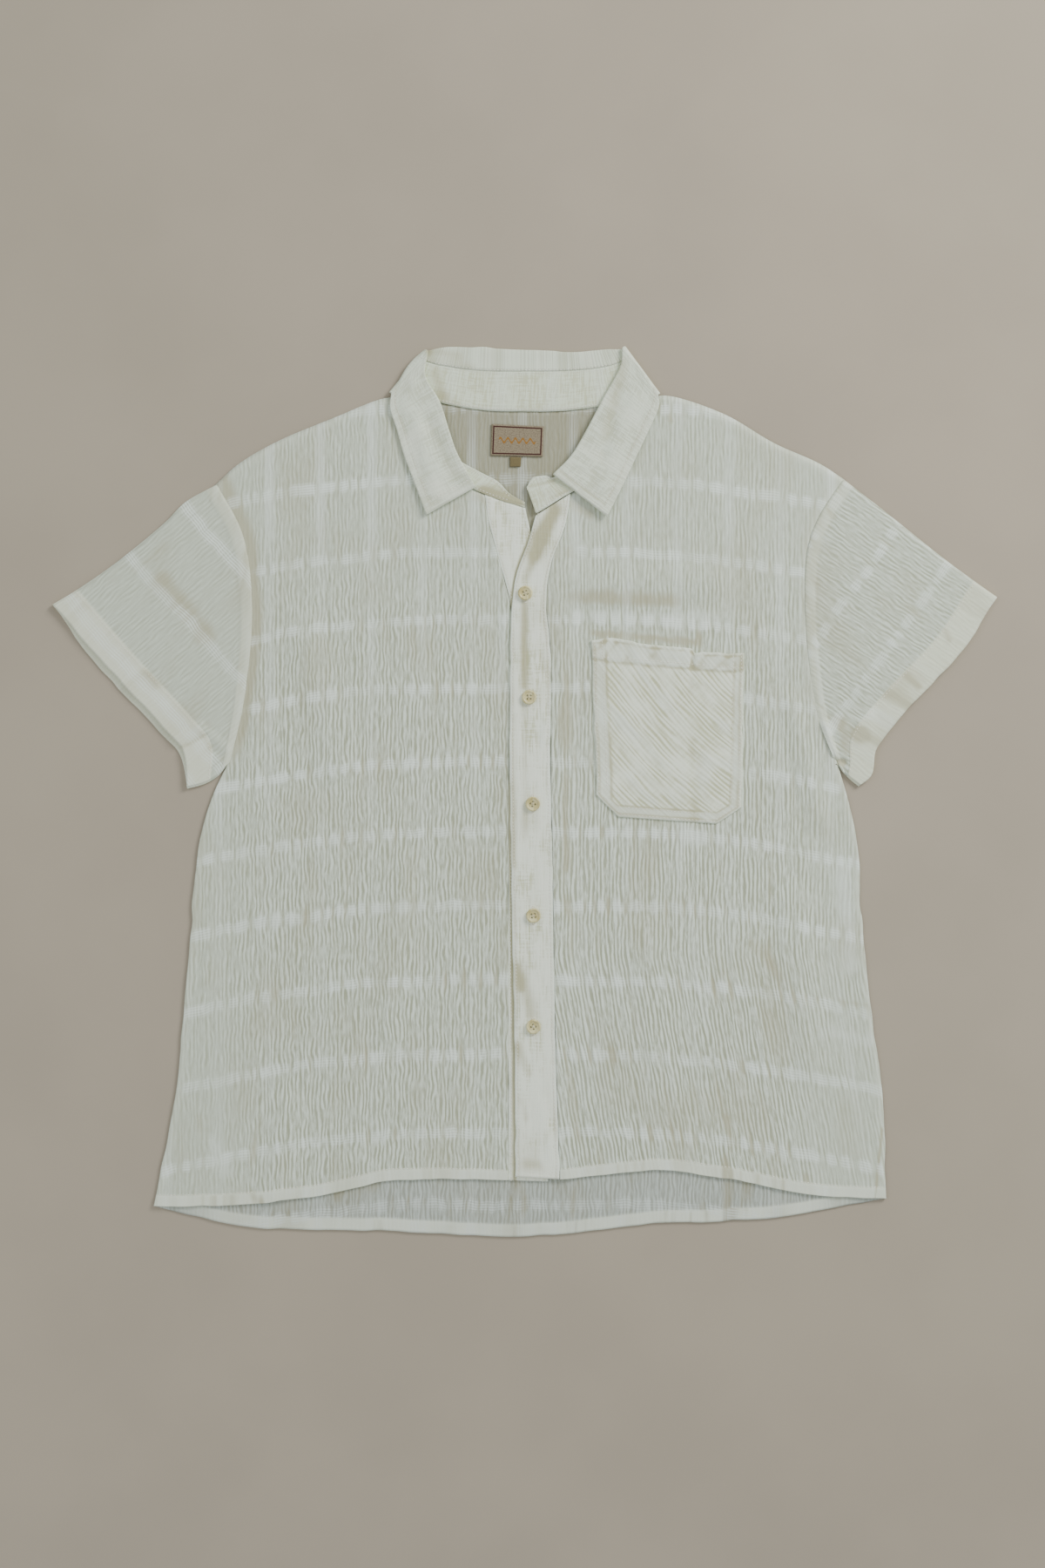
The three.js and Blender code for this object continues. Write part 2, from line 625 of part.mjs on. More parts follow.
// A sleeve: a flattened tube whose rings run from the armhole to the cuff
function sleeve(name, tables, armholeRows) {
  const armhole = smoothLine(armholeRows);
  const seam = (share) => {
    const place = (1 - share) * CELLS.armhole;
    const low = Math.min(Math.floor(place), CELLS.armhole - 1);
    const from = armhole.getPointAt(low / CELLS.armhole);
    const to = armhole.getPointAt((low + 1) / CELLS.armhole);
    const at = from.lerp(to, place - low);
    return at.setX(at.x + tables.outward * ARMHOLE_GAP);
  };
  const foldLine = smoothLine(tables.fold);
  const start = edgeOf({ line: foldLine, cells: 1 });
  const end = edgeOf({ line: smoothLine(tables.underarm), cells: 1 });
  const over = planBetween(seam, edgeOf({ line: smoothLine(tables.cuffOver), cells: 1 }), start, end);
  const under = planBetween(seam, edgeOf({ line: smoothLine(tables.cuffUnder), cells: 1 }), start, end);
  const turn = 1 - CUFF_TURN / foldLine.getLength();
  const step = TURN_STEP / foldLine.getLength();
  const rows = Array.from({ length: SLEEVE_ROWS + 1 }, (_, k) => (k / SLEEVE_ROWS) * (turn - step));
  rows.push(turn, 1);
  const folds = SLEEVE_FOLD_CELLS;
  const ringCells = 2 * CELLS.armhole + 2 * folds;
  const ringPlace = (k) => {
    if (k <= CELLS.armhole) return { share: k / CELLS.armhole, angle: 90 };
    if (k < CELLS.armhole + folds) return { share: 1, angle: 90 - (180 * (k - CELLS.armhole)) / folds };
    if (k <= 2 * CELLS.armhole + folds) {
      return { share: 1 - (k - CELLS.armhole - folds) / CELLS.armhole, angle: -90 };
    }
    return { share: 0, angle: -90 + (180 * (k - 2 * CELLS.armhole - folds)) / folds };
  };
  const at = (k, j, offset) => {
    const v = rows[j];
    const radius = THREE.MathUtils.lerp(SLEEVE_FOLD.armhole, SLEEVE_FOLD.cuff, v);
    const { share, angle } = ringPlace(k);
    const plan = angle < 0 && share > 0 && share < 1 ? under : over;
    const inset = (radius + HALF) / end(v).distanceTo(start(v));
    const place = plan(THREE.MathUtils.clamp(share, inset, 1 - inset), v);
    const outward = plan(share < 0.5 ? 0 : 1, v).sub(place).normalize();
    const turned = THREE.MathUtils.degToRad(angle);
    place.addScaledVector(outward, (radius + offset) * Math.cos(turned));
    const raised = v >= turn && angle === 90 && offset > 0 ? TURN_RAISE : 0;
    return place.setZ(radius + HALF + (radius + offset) * Math.sin(turned) + raised);
  };
  const geometry = closedWall(
    ringCells,
    rows.length - 1,
    (k, j) => at(k, j, -HALF),
    (k, j) => at(k, j, HALF),
    true,
  );
  return clothMesh(name, geometry);
}

// Sections of the collar along a stretch of rows, with rounded values between the rows
function sectionsBetween(rows, angle) {
  const columns = Object.keys(rows[0]).filter((key) => key !== 'at');
  const lines = columns.map((key) => new THREE.CatmullRomCurve3(
    rows.map((row, k) => point(k, row[key])),
    false,
    'catmullrom',
    0.5,
  ));
  const count = (rows.length - 1) * ROW_STEPS;
  return Array.from({ length: count + 1 }, (_, k) => {
    const section = { angle };
    columns.forEach((key, n) => {
      section[key] = lines[n].getPoint(k / count).y;
    });
    return section;
  });
}

// All sections from the right front end to the left one: the layers turn over at each corner
function collarSections(withLeaf) {
  const wanted = (row) => !withLeaf || row.rollX !== undefined;
  const columns = withLeaf
    ? ['seamX', 'rollX', 'rollY', 'edgeX', 'edgeY', 'rise', 'fallLift']
    : ['seamX', 'seamY', 'topX', 'topY', 'lift', 'sink'];
  const tidy = (rows) => rows.filter(wanted).map((row) => (
    Object.fromEntries(columns.map((key) => [key, row[key]]))
  ));
  const right = tidy(COLLAR_RIGHT);
  const left = tidy(COLLAR_LEFT);
  const behind = tidy([COLLAR_RIGHT.at(-1), ...COLLAR_BACK, COLLAR_LEFT[0]]);
  const turnOver = (row, from) => Array.from({ length: TURN_STEPS - 1 }, (_, k) => (
    { ...row, angle: from - (Math.sign(from) * 180 * (k + 1)) / TURN_STEPS }
  ));
  return [
    ...sectionsBetween(right, 90),
    ...turnOver(right.at(-1), 90),
    ...sectionsBetween(behind, -90),
    ...turnOver(left[0], -90),
    ...sectionsBetween(left, 90),
  ];
}

// Outward side of the fold at each corner of the neck, square to the fall's diagonal edge
function cornerSide(section) {
  const sign = Math.sign(section.seamX);
  const row = sign < 0 ? COLLAR_RIGHT.at(-1) : COLLAR_LEFT[0];
  const run = point(row.rollX - row.edgeX, row.rollY - row.edgeY).normalize();
  return point(sign * Math.abs(run.y), Math.abs(run.x));
}

// A place on one of the collar's lines, at the height where its layer lies in this section
function collarPlace(section, x, y, turn, raised) {
  const angle = THREE.MathUtils.degToRad(section.angle);
  const height = turn.centre + turn.radius * Math.sin(angle) + raised;
  return point(x, y, height).addScaledVector(cornerSide(section), turn.radius * Math.cos(angle));
}

// Middle surface of the fall across one section: up from the stand, over the roll, down to the edge
function fallPoints(section) {
  const roll = point(section.rollX, section.rollY);
  const edge = point(section.edgeX, section.edgeY);
  const away = edge.clone().sub(roll).normalize();
  const place = (at, turn) => collarPlace(section, at.x, at.y, turn, section.fallLift);
  const turnAt = roll.clone().addScaledVector(away, ROLL_RADIUS + HALF);
  const centre = place(turnAt, COLLAR_TURN.roll);
  const innerEnd = place(turnAt, COLLAR_TURN.inner);
  const outerEnd = place(turnAt, COLLAR_TURN.outer);
  const start = place(roll.clone().addScaledVector(away, section.rise), COLLAR_TURN.inner);
  const end = place(edge, COLLAR_TURN.edge);
  const toInner = innerEnd.clone().sub(centre);
  const points = [];
  for (let k = 0; k < RISE_CELLS; k += 1) points.push(start.clone().lerp(innerEnd, k / RISE_CELLS));
  for (let k = 0; k <= ROLL_STEPS; k += 1) {
    const turned = (Math.PI * k) / ROLL_STEPS;
    points.push(centre.clone()
      .addScaledVector(toInner, Math.cos(turned))
      .addScaledVector(away, -ROLL_RADIUS * Math.sin(turned)));
  }
  for (let k = 1; k <= FALL_CELLS; k += 1) points.push(outerEnd.clone().lerp(end, k / FALL_CELLS));
  return points;
}

// Middle surface of the stand across one section, from the neck seam to its top
function standPoints(section) {
  const { seamX, seamY, topX, topY, lift, sink } = section;
  const seam = collarPlace(section, seamX, seamY, COLLAR_TURN.seam, lift);
  const top = collarPlace(section, topX, topY, COLLAR_TURN.inner, lift - sink);
  return Array.from({ length: STAND_CELLS + 1 }, (_, k) => seam.clone().lerp(top, k / STAND_CELLS));
}

// A wall of cloth on both sides of a middle surface given as rows of points
function wallAround(rows) {
  const last = rows.length - 1;
  const wide = rows[0].length - 1;
  const normalAt = (i, j) => {
    const along = rows[Math.min(j + 1, last)][i].clone().sub(rows[Math.max(j - 1, 0)][i]);
    const across = rows[j][Math.min(i + 1, wide)].clone().sub(rows[j][Math.max(i - 1, 0)]);
    return across.cross(along).normalize();
  };
  const sheet = (offset) => (i, j) => rows[j][i].clone().addScaledVector(normalAt(i, j), offset);
  return closedWall(wide, last, sheet(-HALF), sheet(HALF));
}

function collar() {
  return clothMesh('collar', wallAround(collarSections(true).map(fallPoints)), COLOURS.trim);
}

function collarStand() {
  return clothMesh('collar_stand', wallAround(collarSections(false).map(standPoints)), COLOURS.trim);
}

// The pocket, on top of the left front, with a turned hem along its upper edge
function pocket() {
  const corner = (at) => point(POCKET[at].x, POCKET[at].y);
  const lineTo = (from, to) => new THREE.LineCurve3(corner(from), corner(to));
  const { across, down, cut } = POCKET_CELLS;
  const lower = edgeOf(
    { line: lineTo('sideRight', 'cutRight'), cells: cut },
    { line: lineTo('cutRight', 'cutLeft'), cells: across - 2 * cut },
    { line: lineTo('cutLeft', 'sideLeft'), cells: cut },
  );
  const plan = planBetween(
    lower,
    edgeOf({ line: lineTo('topRight', 'topLeft'), cells: 1 }),
    edgeOf({ line: lineTo('sideRight', 'topRight'), cells: 1 }),
    edgeOf({ line: lineTo('sideLeft', 'topLeft'), cells: 1 }),
  );
  const height = POCKET.topRight.y - POCKET.sideRight.y;
  const turn = 1 - POCKET_TURN / height;
  const rows = [];
  for (let j = 0; j < down; j += 1) rows.push((j / down) * (turn - TURN_STEP / height));
  rows.push(turn - TURN_STEP / height, turn, 1);
  const rest = FRONT_REST + CLOTH + GAP;
  const at = (i, j, z) => plan(i / across, rows[j]).setZ(z);
  const geometry = closedWall(
    across,
    rows.length - 1,
    (i, j) => at(i, j, rest),
    (i, j) => at(i, j, rest + CLOTH + (rows[j] >= turn ? TURN_RAISE : 0)),
  );
  return clothMesh('pocket', geometry, COLOURS.trim);
}

// A thin patch inside the back neck, lying on the back
function patch(name, corners, colour) {
  const shape = new THREE.Shape(corners.map(({ x, y }) => new THREE.Vector2(x, y)));
  const geometry = new THREE.ExtrudeGeometry(shape, { depth: CLOTH, bevelEnabled: false });
  geometry.translate(0, 0, CLOTH + GAP);
  return clothMesh(name, geometry, colour, 0.8);
}

// A closed geometry as a solid that can be cut
function solidOf(geometry) {
  const bare = geometry.clone();
  bare.deleteAttribute('normal');
  bare.deleteAttribute('uv');
  const merged = mergeVertices(bare, 1e-4);
  return new wasm.Manifold(new wasm.Mesh({
    numProp: 3,
    vertProperties: new Float32Array(merged.getAttribute('position').array),
    triVerts: new Uint32Array(merged.getIndex().array),
  }));
}

function geometryOf(solid) {
  const { vertProperties, triVerts, numProp } = solid.getMesh();
  const positions = [];
  for (let k = 0; k < vertProperties.length; k += numProp) {
    positions.push(vertProperties[k], vertProperties[k + 1], vertProperties[k + 2]);
  }
  const geometry = new THREE.BufferGeometry();
  geometry.setAttribute('position', new THREE.Float32BufferAttribute(positions, 3));
  geometry.setIndex(Array.from(triVerts));
  geometry.computeVertexNormals();
  return geometry;
}

// A round button with a raised rim, a dished middle and four sewing holes
function buttonGeometry() {
  const { radius, height, rim, dish, hole, holePitch } = BUTTON;
  const profile = [
    [0, 0],
    [radius - BUTTON.lowerBevel, 0],
    [radius, BUTTON.belt],
    [radius - BUTTON.upperBevel, height],
    [radius - rim, height],
    [radius - rim - BUTTON.dishSlope, height - dish],
    [0, height - dish],
  ].map(([x, y]) => new THREE.Vector2(x, y));
  const body = new THREE.LatheGeometry(profile, BUTTON_SIDES).rotateX(Math.PI / 2);
  let solid = solidOf(facingOut(mergeVertices(bareOf(body), 1e-4)));
  for (const sideways of [-1, 1]) {
    for (const endways of [-1, 1]) {
      const drill = new THREE.CylinderGeometry(hole, hole, height * 2, HOLE_SIDES).rotateX(Math.PI / 2);
      drill.translate((sideways * holePitch) / 2, (endways * holePitch) / 2, height / 2);
      solid = solid.subtract(solidOf(drill));
    }
  }
  return geometryOf(solid);
}

function bareOf(geometry) {
  geometry.deleteAttribute('normal');
  geometry.deleteAttribute('uv');
  return geometry;
}

function buttons() {
  const geometry = buttonGeometry();
  return BUTTONS.map(({ name, x, y, turn }) => {
    const mesh = clothMesh(name, geometry, COLOURS.button, 0.4);
    mesh.position.set(x, y, PLACKET_REST + PLACKET_WALL + GAP);
    mesh.rotation.z = THREE.MathUtils.degToRad(turn);
    return mesh;
  });
}

const shirt = new THREE.Group();
shirt.add(
  back(),
  frontRight(),
  frontLeft(),
  strip('button_band', BAND, FRONT_REST, BAND_WALL),
  strip('placket', PLACKET, PLACKET_REST, PLACKET_WALL),
  sleeve('sleeve_right', RIGHT_SLEEVE, RIGHT_ARMHOLE),
  sleeve('sleeve_left', LEFT_SLEEVE, LEFT_ARMHOLE),
  pocket(),
  collarStand(),
  collar(),
  patch('neck_label', LABEL, COLOURS.label),
  patch('size_tab', TAB, COLOURS.tab),
  ...buttons(),
);

export default shirt;
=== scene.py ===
"""A short-sleeve shirt in ivory crinkled cotton gauze, laid flat on its back.

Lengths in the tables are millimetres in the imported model's own frame: +X is the wearer's
left, +Y points to the collar and +Z is up from the floor. Right and left are the wearer's.
"""

import json
import logging
import math
from dataclasses import dataclass
from enum import Enum
from typing import Sequence

import bmesh
import bpy
import numpy as np
from mathutils import Matrix, Vector
from mathutils.bvhtree import BVHTree

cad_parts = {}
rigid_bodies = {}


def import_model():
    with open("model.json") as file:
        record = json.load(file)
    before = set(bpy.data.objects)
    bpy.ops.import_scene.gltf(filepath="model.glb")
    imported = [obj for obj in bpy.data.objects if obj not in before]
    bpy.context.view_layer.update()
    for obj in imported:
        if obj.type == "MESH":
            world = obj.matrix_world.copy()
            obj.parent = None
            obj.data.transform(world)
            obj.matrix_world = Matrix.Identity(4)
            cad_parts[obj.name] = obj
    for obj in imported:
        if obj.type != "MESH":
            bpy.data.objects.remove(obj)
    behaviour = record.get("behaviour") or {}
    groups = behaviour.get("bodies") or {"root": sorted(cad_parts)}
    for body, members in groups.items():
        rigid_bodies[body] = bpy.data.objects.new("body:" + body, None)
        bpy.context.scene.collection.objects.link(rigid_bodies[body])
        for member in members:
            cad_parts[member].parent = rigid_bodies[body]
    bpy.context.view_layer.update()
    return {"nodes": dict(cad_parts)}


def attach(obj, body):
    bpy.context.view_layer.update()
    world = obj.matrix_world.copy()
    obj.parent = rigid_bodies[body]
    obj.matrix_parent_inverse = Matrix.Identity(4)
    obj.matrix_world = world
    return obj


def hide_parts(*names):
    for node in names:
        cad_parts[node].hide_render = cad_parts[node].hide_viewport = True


for leftover in list(bpy.data.objects):
    bpy.data.objects.remove(leftover)

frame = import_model()
LOG = logging.getLogger("shirt")
MM = 0.001
BODY = "root"
LINE_POINTS = 401
LINE_SAMPLES = 24
HEM_ALLOWANCE = 0.016

Row = tuple[str, float, float]
Colour = tuple[float, float, float]


class Slot(Enum):
    """The record's material slots."""

    GAUZE = "gauze"
    DOUBLED = "doubled_gauze"
    LABEL = "label"
    TAB = "tab"
    BUTTON = "button"


class Half(Enum):
    """The wearer's two halves, by the side of the Y axis they lie on."""

    RIGHT = -1
    LEFT = 1

    @property
    def word(self) -> str:
        """The half's word in the names of pieces."""
        return self.name.lower()


class CollarPart(Enum):
    """The two parts of the collar."""

    FALL = "fall"
    STAND = "stand"


class Held(Enum):
    """How a sheet of cloth lies."""

    LAID = "laid"
    FOLDED = "folded"


def paint(red: int, green: int, blue: int) -> Colour:
    """Turns a screen colour into the linear one that a shader takes.

    Args:
        red: Red, 0 to 255.
        green: Green, 0 to 255.
        blue: Blue, 0 to 255.

    Returns:
        The linear colour.
    """
    def linear(channel: int) -> float:
        """Returns one channel without the screen's curve."""
        share = channel / 255
        return share / 12.92 if share <= 0.04045 else ((share + 0.055) / 1.055) ** 2.4

    return linear(red), linear(green), linear(blue)


def smoothstep(value: np.ndarray, low: float, high: float) -> np.ndarray:
    """Rises softly from 0 at low to 1 at high."""
    share = np.clip((value - low) / (high - low), 0, 1)
    return share * share * (3 - 2 * share)


def lattice(across: np.ndarray, along: np.ndarray, seed: int) -> np.ndarray:
    """Gives every whole place of a lattice its own fixed value between -1 and 1.

    Args:
        across: Whole numbers across.
        along: Whole numbers along.
        seed: Picks another set of values.

    Returns:
        One value for each place.
    """
    mixed = (across * 374761393 + along * 668265263 + seed * 1442695041) & 0xFFFFFFFF
    mixed = ((mixed ^ (mixed >> 13)) * 1274126177) & 0xFFFFFFFF
    return (mixed ^ (mixed >> 16)) / 0x7FFFFFFF - 1.0


def wander(across: np.ndarray, along: np.ndarray, seed: int) -> np.ndarray:
    """Soft noise between -1 and 1, one bump to each unit.

    Args:
        across: Place across, in bumps.
        along: Place along, in bumps.
        seed: Picks another pattern.

    Returns:
        The noise at each place.
    """
    col, row = np.floor(across).astype(np.int64), np.floor(along).astype(np.int64)
    right = smoothstep(across - col, 0, 1)
    up = smoothstep(along - row, 0, 1)
    low = lattice(col, row, seed) * (1 - right) + lattice(col + 1, row, seed) * right
    high = lattice(col, row + 1, seed) * (1 - right) + lattice(col + 1, row + 1, seed) * right
    return low * (1 - up) + high * up


def cubic(a: np.ndarray, b: np.ndarray, leave: np.ndarray, arrive: np.ndarray,
          share: np.ndarray) -> np.ndarray:
    """Runs in a curve from a to b, with given ways of leaving a and arriving at b.

    Args:
        a: Where it starts.
        b: Where it ends.
        leave: How it leaves a.
        arrive: How it arrives at b.
        share: Shares of the way.

    Returns:
        One place for each share.
    """
    return (
        (2 * share**3 - 3 * share**2 + 1) * a
        + (share**3 - 2 * share**2 + share) * leave
        + (3 * share**2 - 2 * share**3) * b
        + (share**3 - share**2) * arrive
    )


def travelled(line: np.ndarray) -> np.ndarray:
    """Distance along a line of points, at each of them."""
    return np.concatenate([[0], np.cumsum(np.linalg.norm(np.diff(line, axis=0), axis=1))])


def even_points(line: np.ndarray, count: int) -> np.ndarray:
    """Spreads a number of points evenly along a line of points.

    Args:
        line: The line's own points.
        count: How many to give.

    Returns:
        The evenly spread points.
    """
    far = travelled(line)
    wanted = np.linspace(0, far[-1], count)
    return np.stack([np.interp(wanted, far, line[:, k]) for k in range(line.shape[1])], axis=-1)


def line_length(line: np.ndarray) -> float:
    """Length of a line of points."""
    return float(np.linalg.norm(np.diff(line, axis=0), axis=1).sum())


def smooth_line(rows: Sequence[Row]) -> np.ndarray:
    """Runs a rounded line through the rows of a table.

    Args:
        rows: The places that the line goes through.

    Returns:
        Points at even distances along the line.
    """
    given = np.array([(x, y) for _, x, y in rows], float)
    ends = np.vstack([2 * given[0] - given[1], given, 2 * given[-1] - given[-2]])
    share = np.linspace(0, 1, LINE_SAMPLES, endpoint=False)[:, None]
    stretches = []
    for a, b, c, d in zip(ends, ends[1:], ends[2:], ends[3:]):
        before, here, after = (np.linalg.norm(q - p) ** 0.5 for p, q in ((a, b), (b, c), (c, d)))
        leave = ((b - a) / before - (c - a) / (before + here) + (c - b) / here) * here
        arrive = ((c - b) / here - (d - b) / (here + after) + (d - c) / after) * here
        stretches.append(cubic(b, c, leave, arrive, share))
    return even_points(np.vstack([*stretches, given[-1:]]), LINE_POINTS)


def on_line(line: np.ndarray, shares: np.ndarray) -> np.ndarray:
    """Places at shares of an evenly pointed line.

    Args:
        line: Evenly spread points.
        shares: 0 at the line's start to 1 at its end.

    Returns:
        One place for each share.
    """
    marks = np.linspace(0, 1, len(line))
    return np.stack([np.interp(shares, marks, line[:, k]) for k in range(line.shape[1])], axis=-1)


def off_line(x: np.ndarray, y: np.ndarray, start: tuple, end: tuple) -> np.ndarray:
    """Distance of places from the straight stretch between two points.

    Args:
        x: Places in X.
        y: Places in Y.
        start: One end of the stretch.
        end: Its other end.

    Returns:
        The distances.
    """
    way = np.array(end, float) - np.array(start, float)
    share = ((x - start[0]) * way[0] + (y - start[1]) * way[1]) / (way @ way)
    share = np.clip(share, 0, 1)
    return np.hypot(x - start[0] - share * way[0], y - start[1] - share * way[1])


def bell(away: np.ndarray, width: float) -> np.ndarray:
    """1 at no distance, falling off softly over a width."""
    return np.exp(-((away / width) ** 2))


def into_scene(name: str, form: bmesh.types.BMesh,
               material: bpy.types.Material | None = None) -> bpy.types.Object:
    """Puts a finished form into the scene under a name, with its material.

    Args:
        name: The object's name.
        form: Its form, which is then freed.
        material: Its finish, if it has one.

    Returns:
        The object.
    """
    mesh = bpy.data.meshes.new(name)
    form.to_mesh(mesh)
    form.free()
    if material:
        mesh.materials.append(material)
    made = bpy.data.objects.new(name, mesh)
    bpy.context.scene.collection.objects.link(made)
    return made


@dataclass(frozen=True)
class Edge:
    """One edge of a panel, made of lines that each take their own share of its cells."""

    stretches: tuple

    def at(self, shares: np.ndarray) -> np.ndarray:
        """Places at shares of the edge.

        Args:
            shares: 0 at the edge's start to 1 at its end.

        Returns:
            One place for each share.
        """
        place = shares * sum(cells for _, cells in self.stretches)
        found = np.zeros(shares.shape + (2,))
        done = 0
        for line, cells in self.stretches:
            here = on_line(line, np.clip((place - done) / cells, 0, 1))
            reached = (place >= done)[..., None]
            found = np.where(reached, here, found)
            done += cells
        return found


def line_edge(rows: Sequence[Row]) -> Edge:
    """An edge that follows the rows of one table."""
    return Edge(((smooth_line(rows), 1),))


@dataclass(frozen=True)
class Plan:
    """A panel seen from above, stretched between its four edges."""

    bottom: Edge
    top: Edge
    start: Edge
    end: Edge

    def at(self, across: np.ndarray, up: np.ndarray) -> np.ndarray:
        """Places of the panel.

        Args:
            across: 0 at the start edge to 1 at the end edge.
            up: 0 at the bottom edge to 1 at the top edge.

        Returns:
            X and Y of each place.
        """
        u, v = across[..., None], up[..., None]
        zero, one = np.zeros(1), np.ones(1)
        corners = [edge.at(share)[0] for edge in (self.bottom, self.top) for share in (zero, one)]
        return (
            self.bottom.at(across) * (1 - v)
            + self.top.at(across) * v
            + self.start.at(up) * (1 - u)
            + self.end.at(up) * u
            - corners[0] * (1 - u) * (1 - v)
            - corners[1] * u * (1 - v)
            - corners[2] * (1 - u) * v
            - corners[3] * u * v
        )


class Number:
    """A number of a node graph, from which others are worked out with +, -, * and abs."""

    def __init__(self, graph: "Graph", socket: bpy.types.NodeSocket) -> None:
        """Holds a socket of a graph."""
        self.graph, self.socket = graph, socket

    def __add__(self, other: object) -> "Number":
        """Adds another number."""
        return self.graph.math("ADD", self, other)

    def __sub__(self, other: object) -> "Number":
        """Takes another number off."""
        return self.graph.math("SUBTRACT", self, other)

    def __rsub__(self, other: object) -> "Number":
        """Is taken off another number."""
        return self.graph.math("SUBTRACT", other, self)

    def __mul__(self, other: object) -> "Number":
        """Multiplies by another number."""
        return self.graph.math("MULTIPLY", self, other)

    def __abs__(self) -> "Number":
        """Drops the sign."""
        return self.graph.math("ABSOLUTE", self)


class Graph:
    """A material's node graph, with short ways to add nodes and join them."""

    def __init__(self, name: str) -> None:
        """Makes an empty material of a name.

        Args:
            name: The material's name.
        """
        self.material = bpy.data.materials.new(name)
        self.material.use_nodes = True
        self.tree = self.material.node_tree
        self.tree.nodes.clear()
        self.pair = None

    def put(self, socket: bpy.types.NodeSocket, value: object) -> None:
        """Joins a socket to another one, or sets its value.

        Args:
            socket: The socket.
            value: A number, a colour or another socket.
        """
        value = value.socket if isinstance(value, Number) else value
        if isinstance(value, bpy.types.NodeSocket):
            self.tree.links.new(value, socket)
        elif isinstance(value, tuple) and len(value) == 3 and socket.type == "RGBA":
            socket.default_value = (*value, 1.0)
        else:
            socket.default_value = value

    def node(self, kind: str, settings: dict | None = None, **inputs: object) -> bpy.types.Node:
        """Adds a node.

        Args:
            kind: Its type.
            settings: Properties of the node.
            **inputs: Values or sockets for its inputs, with _ for a space.

        Returns:
            The node.
        """
        made = self.tree.nodes.new(kind)
        for key, value in (settings or {}).items():
            setattr(made, key, value)
        for key, value in inputs.items():
            self.put(made.inputs[key.replace("_", " ")], value)
        return made

    def math(self, way: str, first: object, second: object = 0.0) -> Number:
        """Works out one number from one or two others.

        Args:
            way: The operation.
            first: First number.
            second: Second number.

        Returns:
            The result.
        """
        made = self.node("ShaderNodeMath", {"operation": way})
        self.put(made.inputs[0], first)
        self.put(made.inputs[1], second)
        return Number(self, made.outputs[0])

    def mix(self, share: object, first: object, second: object) -> bpy.types.NodeSocket:
        """Mixes two colours, with the second one's share.

        Args:
            share: How much of the second.
            first: First colour.
            second: Second colour.

        Returns:
            The mixed colour's socket.
        """
        made = self.node("ShaderNodeMix", {"data_type": "RGBA"})
        for place, given in ((0, share), (6, first), (7, second)):
            self.put(made.inputs[place], given)
        return made.outputs[2]

    def ramp(self, value: object, low: float, high: float, start: float = 0.0,
             end: float = 1.0) -> Number:
        """Moves a number softly from the range low to high to the range start to end.

        Args:
            value: The number.
            low: Where the range starts.
            high: Where it ends.
            start: Result at low.
            end: Result at high.

        Returns:
            The result.
        """
        made = self.node("ShaderNodeMapRange", {"interpolation_type": "SMOOTHSTEP"})
        for socket, given in zip(made.inputs, (value, low, high, start, end)):
            self.put(socket, given)
        return Number(self, made.outputs[0])

    def bumps(self, across: float, along: float, detail: float = 2.0,
              roughness: float = 0.5) -> Number:
        """Soft noise on the cloth.

        Args:
            across: Width of a bump in millimetres.
            along: Its length in millimetres.
            detail: How many finer layers it has.
            roughness: How strong they are.

        Returns:
            The noise, about 0.5.
        """
        scale = (1 / (across * MM), 1 / (along * MM), 1.0)
        place = self.node("ShaderNodeMapping", Vector=self.pair, Scale=scale).outputs[0]
        made = self.node("ShaderNodeTexNoise", {"noise_dimensions": "2D"}, Vector=place,
                         Scale=1.0, Detail=detail, Roughness=roughness)
        return Number(self, made.outputs[0])

    def waves(self, value: Number, pitch: float) -> Number:
        """Waves between 0 and 1 of a pitch in millimetres along a coordinate in metres."""
        return self.math("COSINE", value * (2 * math.pi / (pitch * MM))) * 0.5 + 0.5

    def ripples(self, across: Number, pitch: float, length: float, swerve: float) -> Number:
        """Short wavy lines that run along the cloth, merge and end.

        Args:
            across: The coordinate across the cloth.
            pitch: From line to line, in millimetres.
            length: How far a line goes before it bends or ends, in millimetres.
            swerve: How far lines are moved sideways, in millimetres.

        Returns:
            A number from 0 in the troughs to 1 on the ridges.
        """
        sideways = (self.bumps(2.6 * pitch, length, 1.0) - 0.5) * (swerve * MM)
        breaks = self.bumps(2.1 * pitch, length * 0.8, 1.0)
        strength = self.ramp(breaks, 0.35, 0.6, 0.2, 1.0)
        return (self.waves(across + sideways, pitch) - 0.5) * strength + 0.5

    def threads(self, across: Number, along: Number, pitch: float) -> Number:
        """The plain weave's threads, 1 where they cross."""
        return self.waves(along, pitch) * self.waves(across, pitch)

    def cloth(self) -> tuple[Number, Number]:
        """The cloth's own coordinates: the one across and the one along.

        Returns:
            Both coordinates, in metres.
        """
        self.pair = self.node("ShaderNodeUVMap", {"uv_map": "cloth"}).outputs[0]
        split = self.node("ShaderNodeSeparateXYZ", Vector=self.pair)
        return Number(self, split.outputs[0]), Number(self, split.outputs[1])

    def field(self, name: str) -> Number:
        """A number that the mesh carries at each point."""
        made = self.node("ShaderNodeAttribute", {"attribute_name": name})
        return Number(self, made.outputs["Fac"])

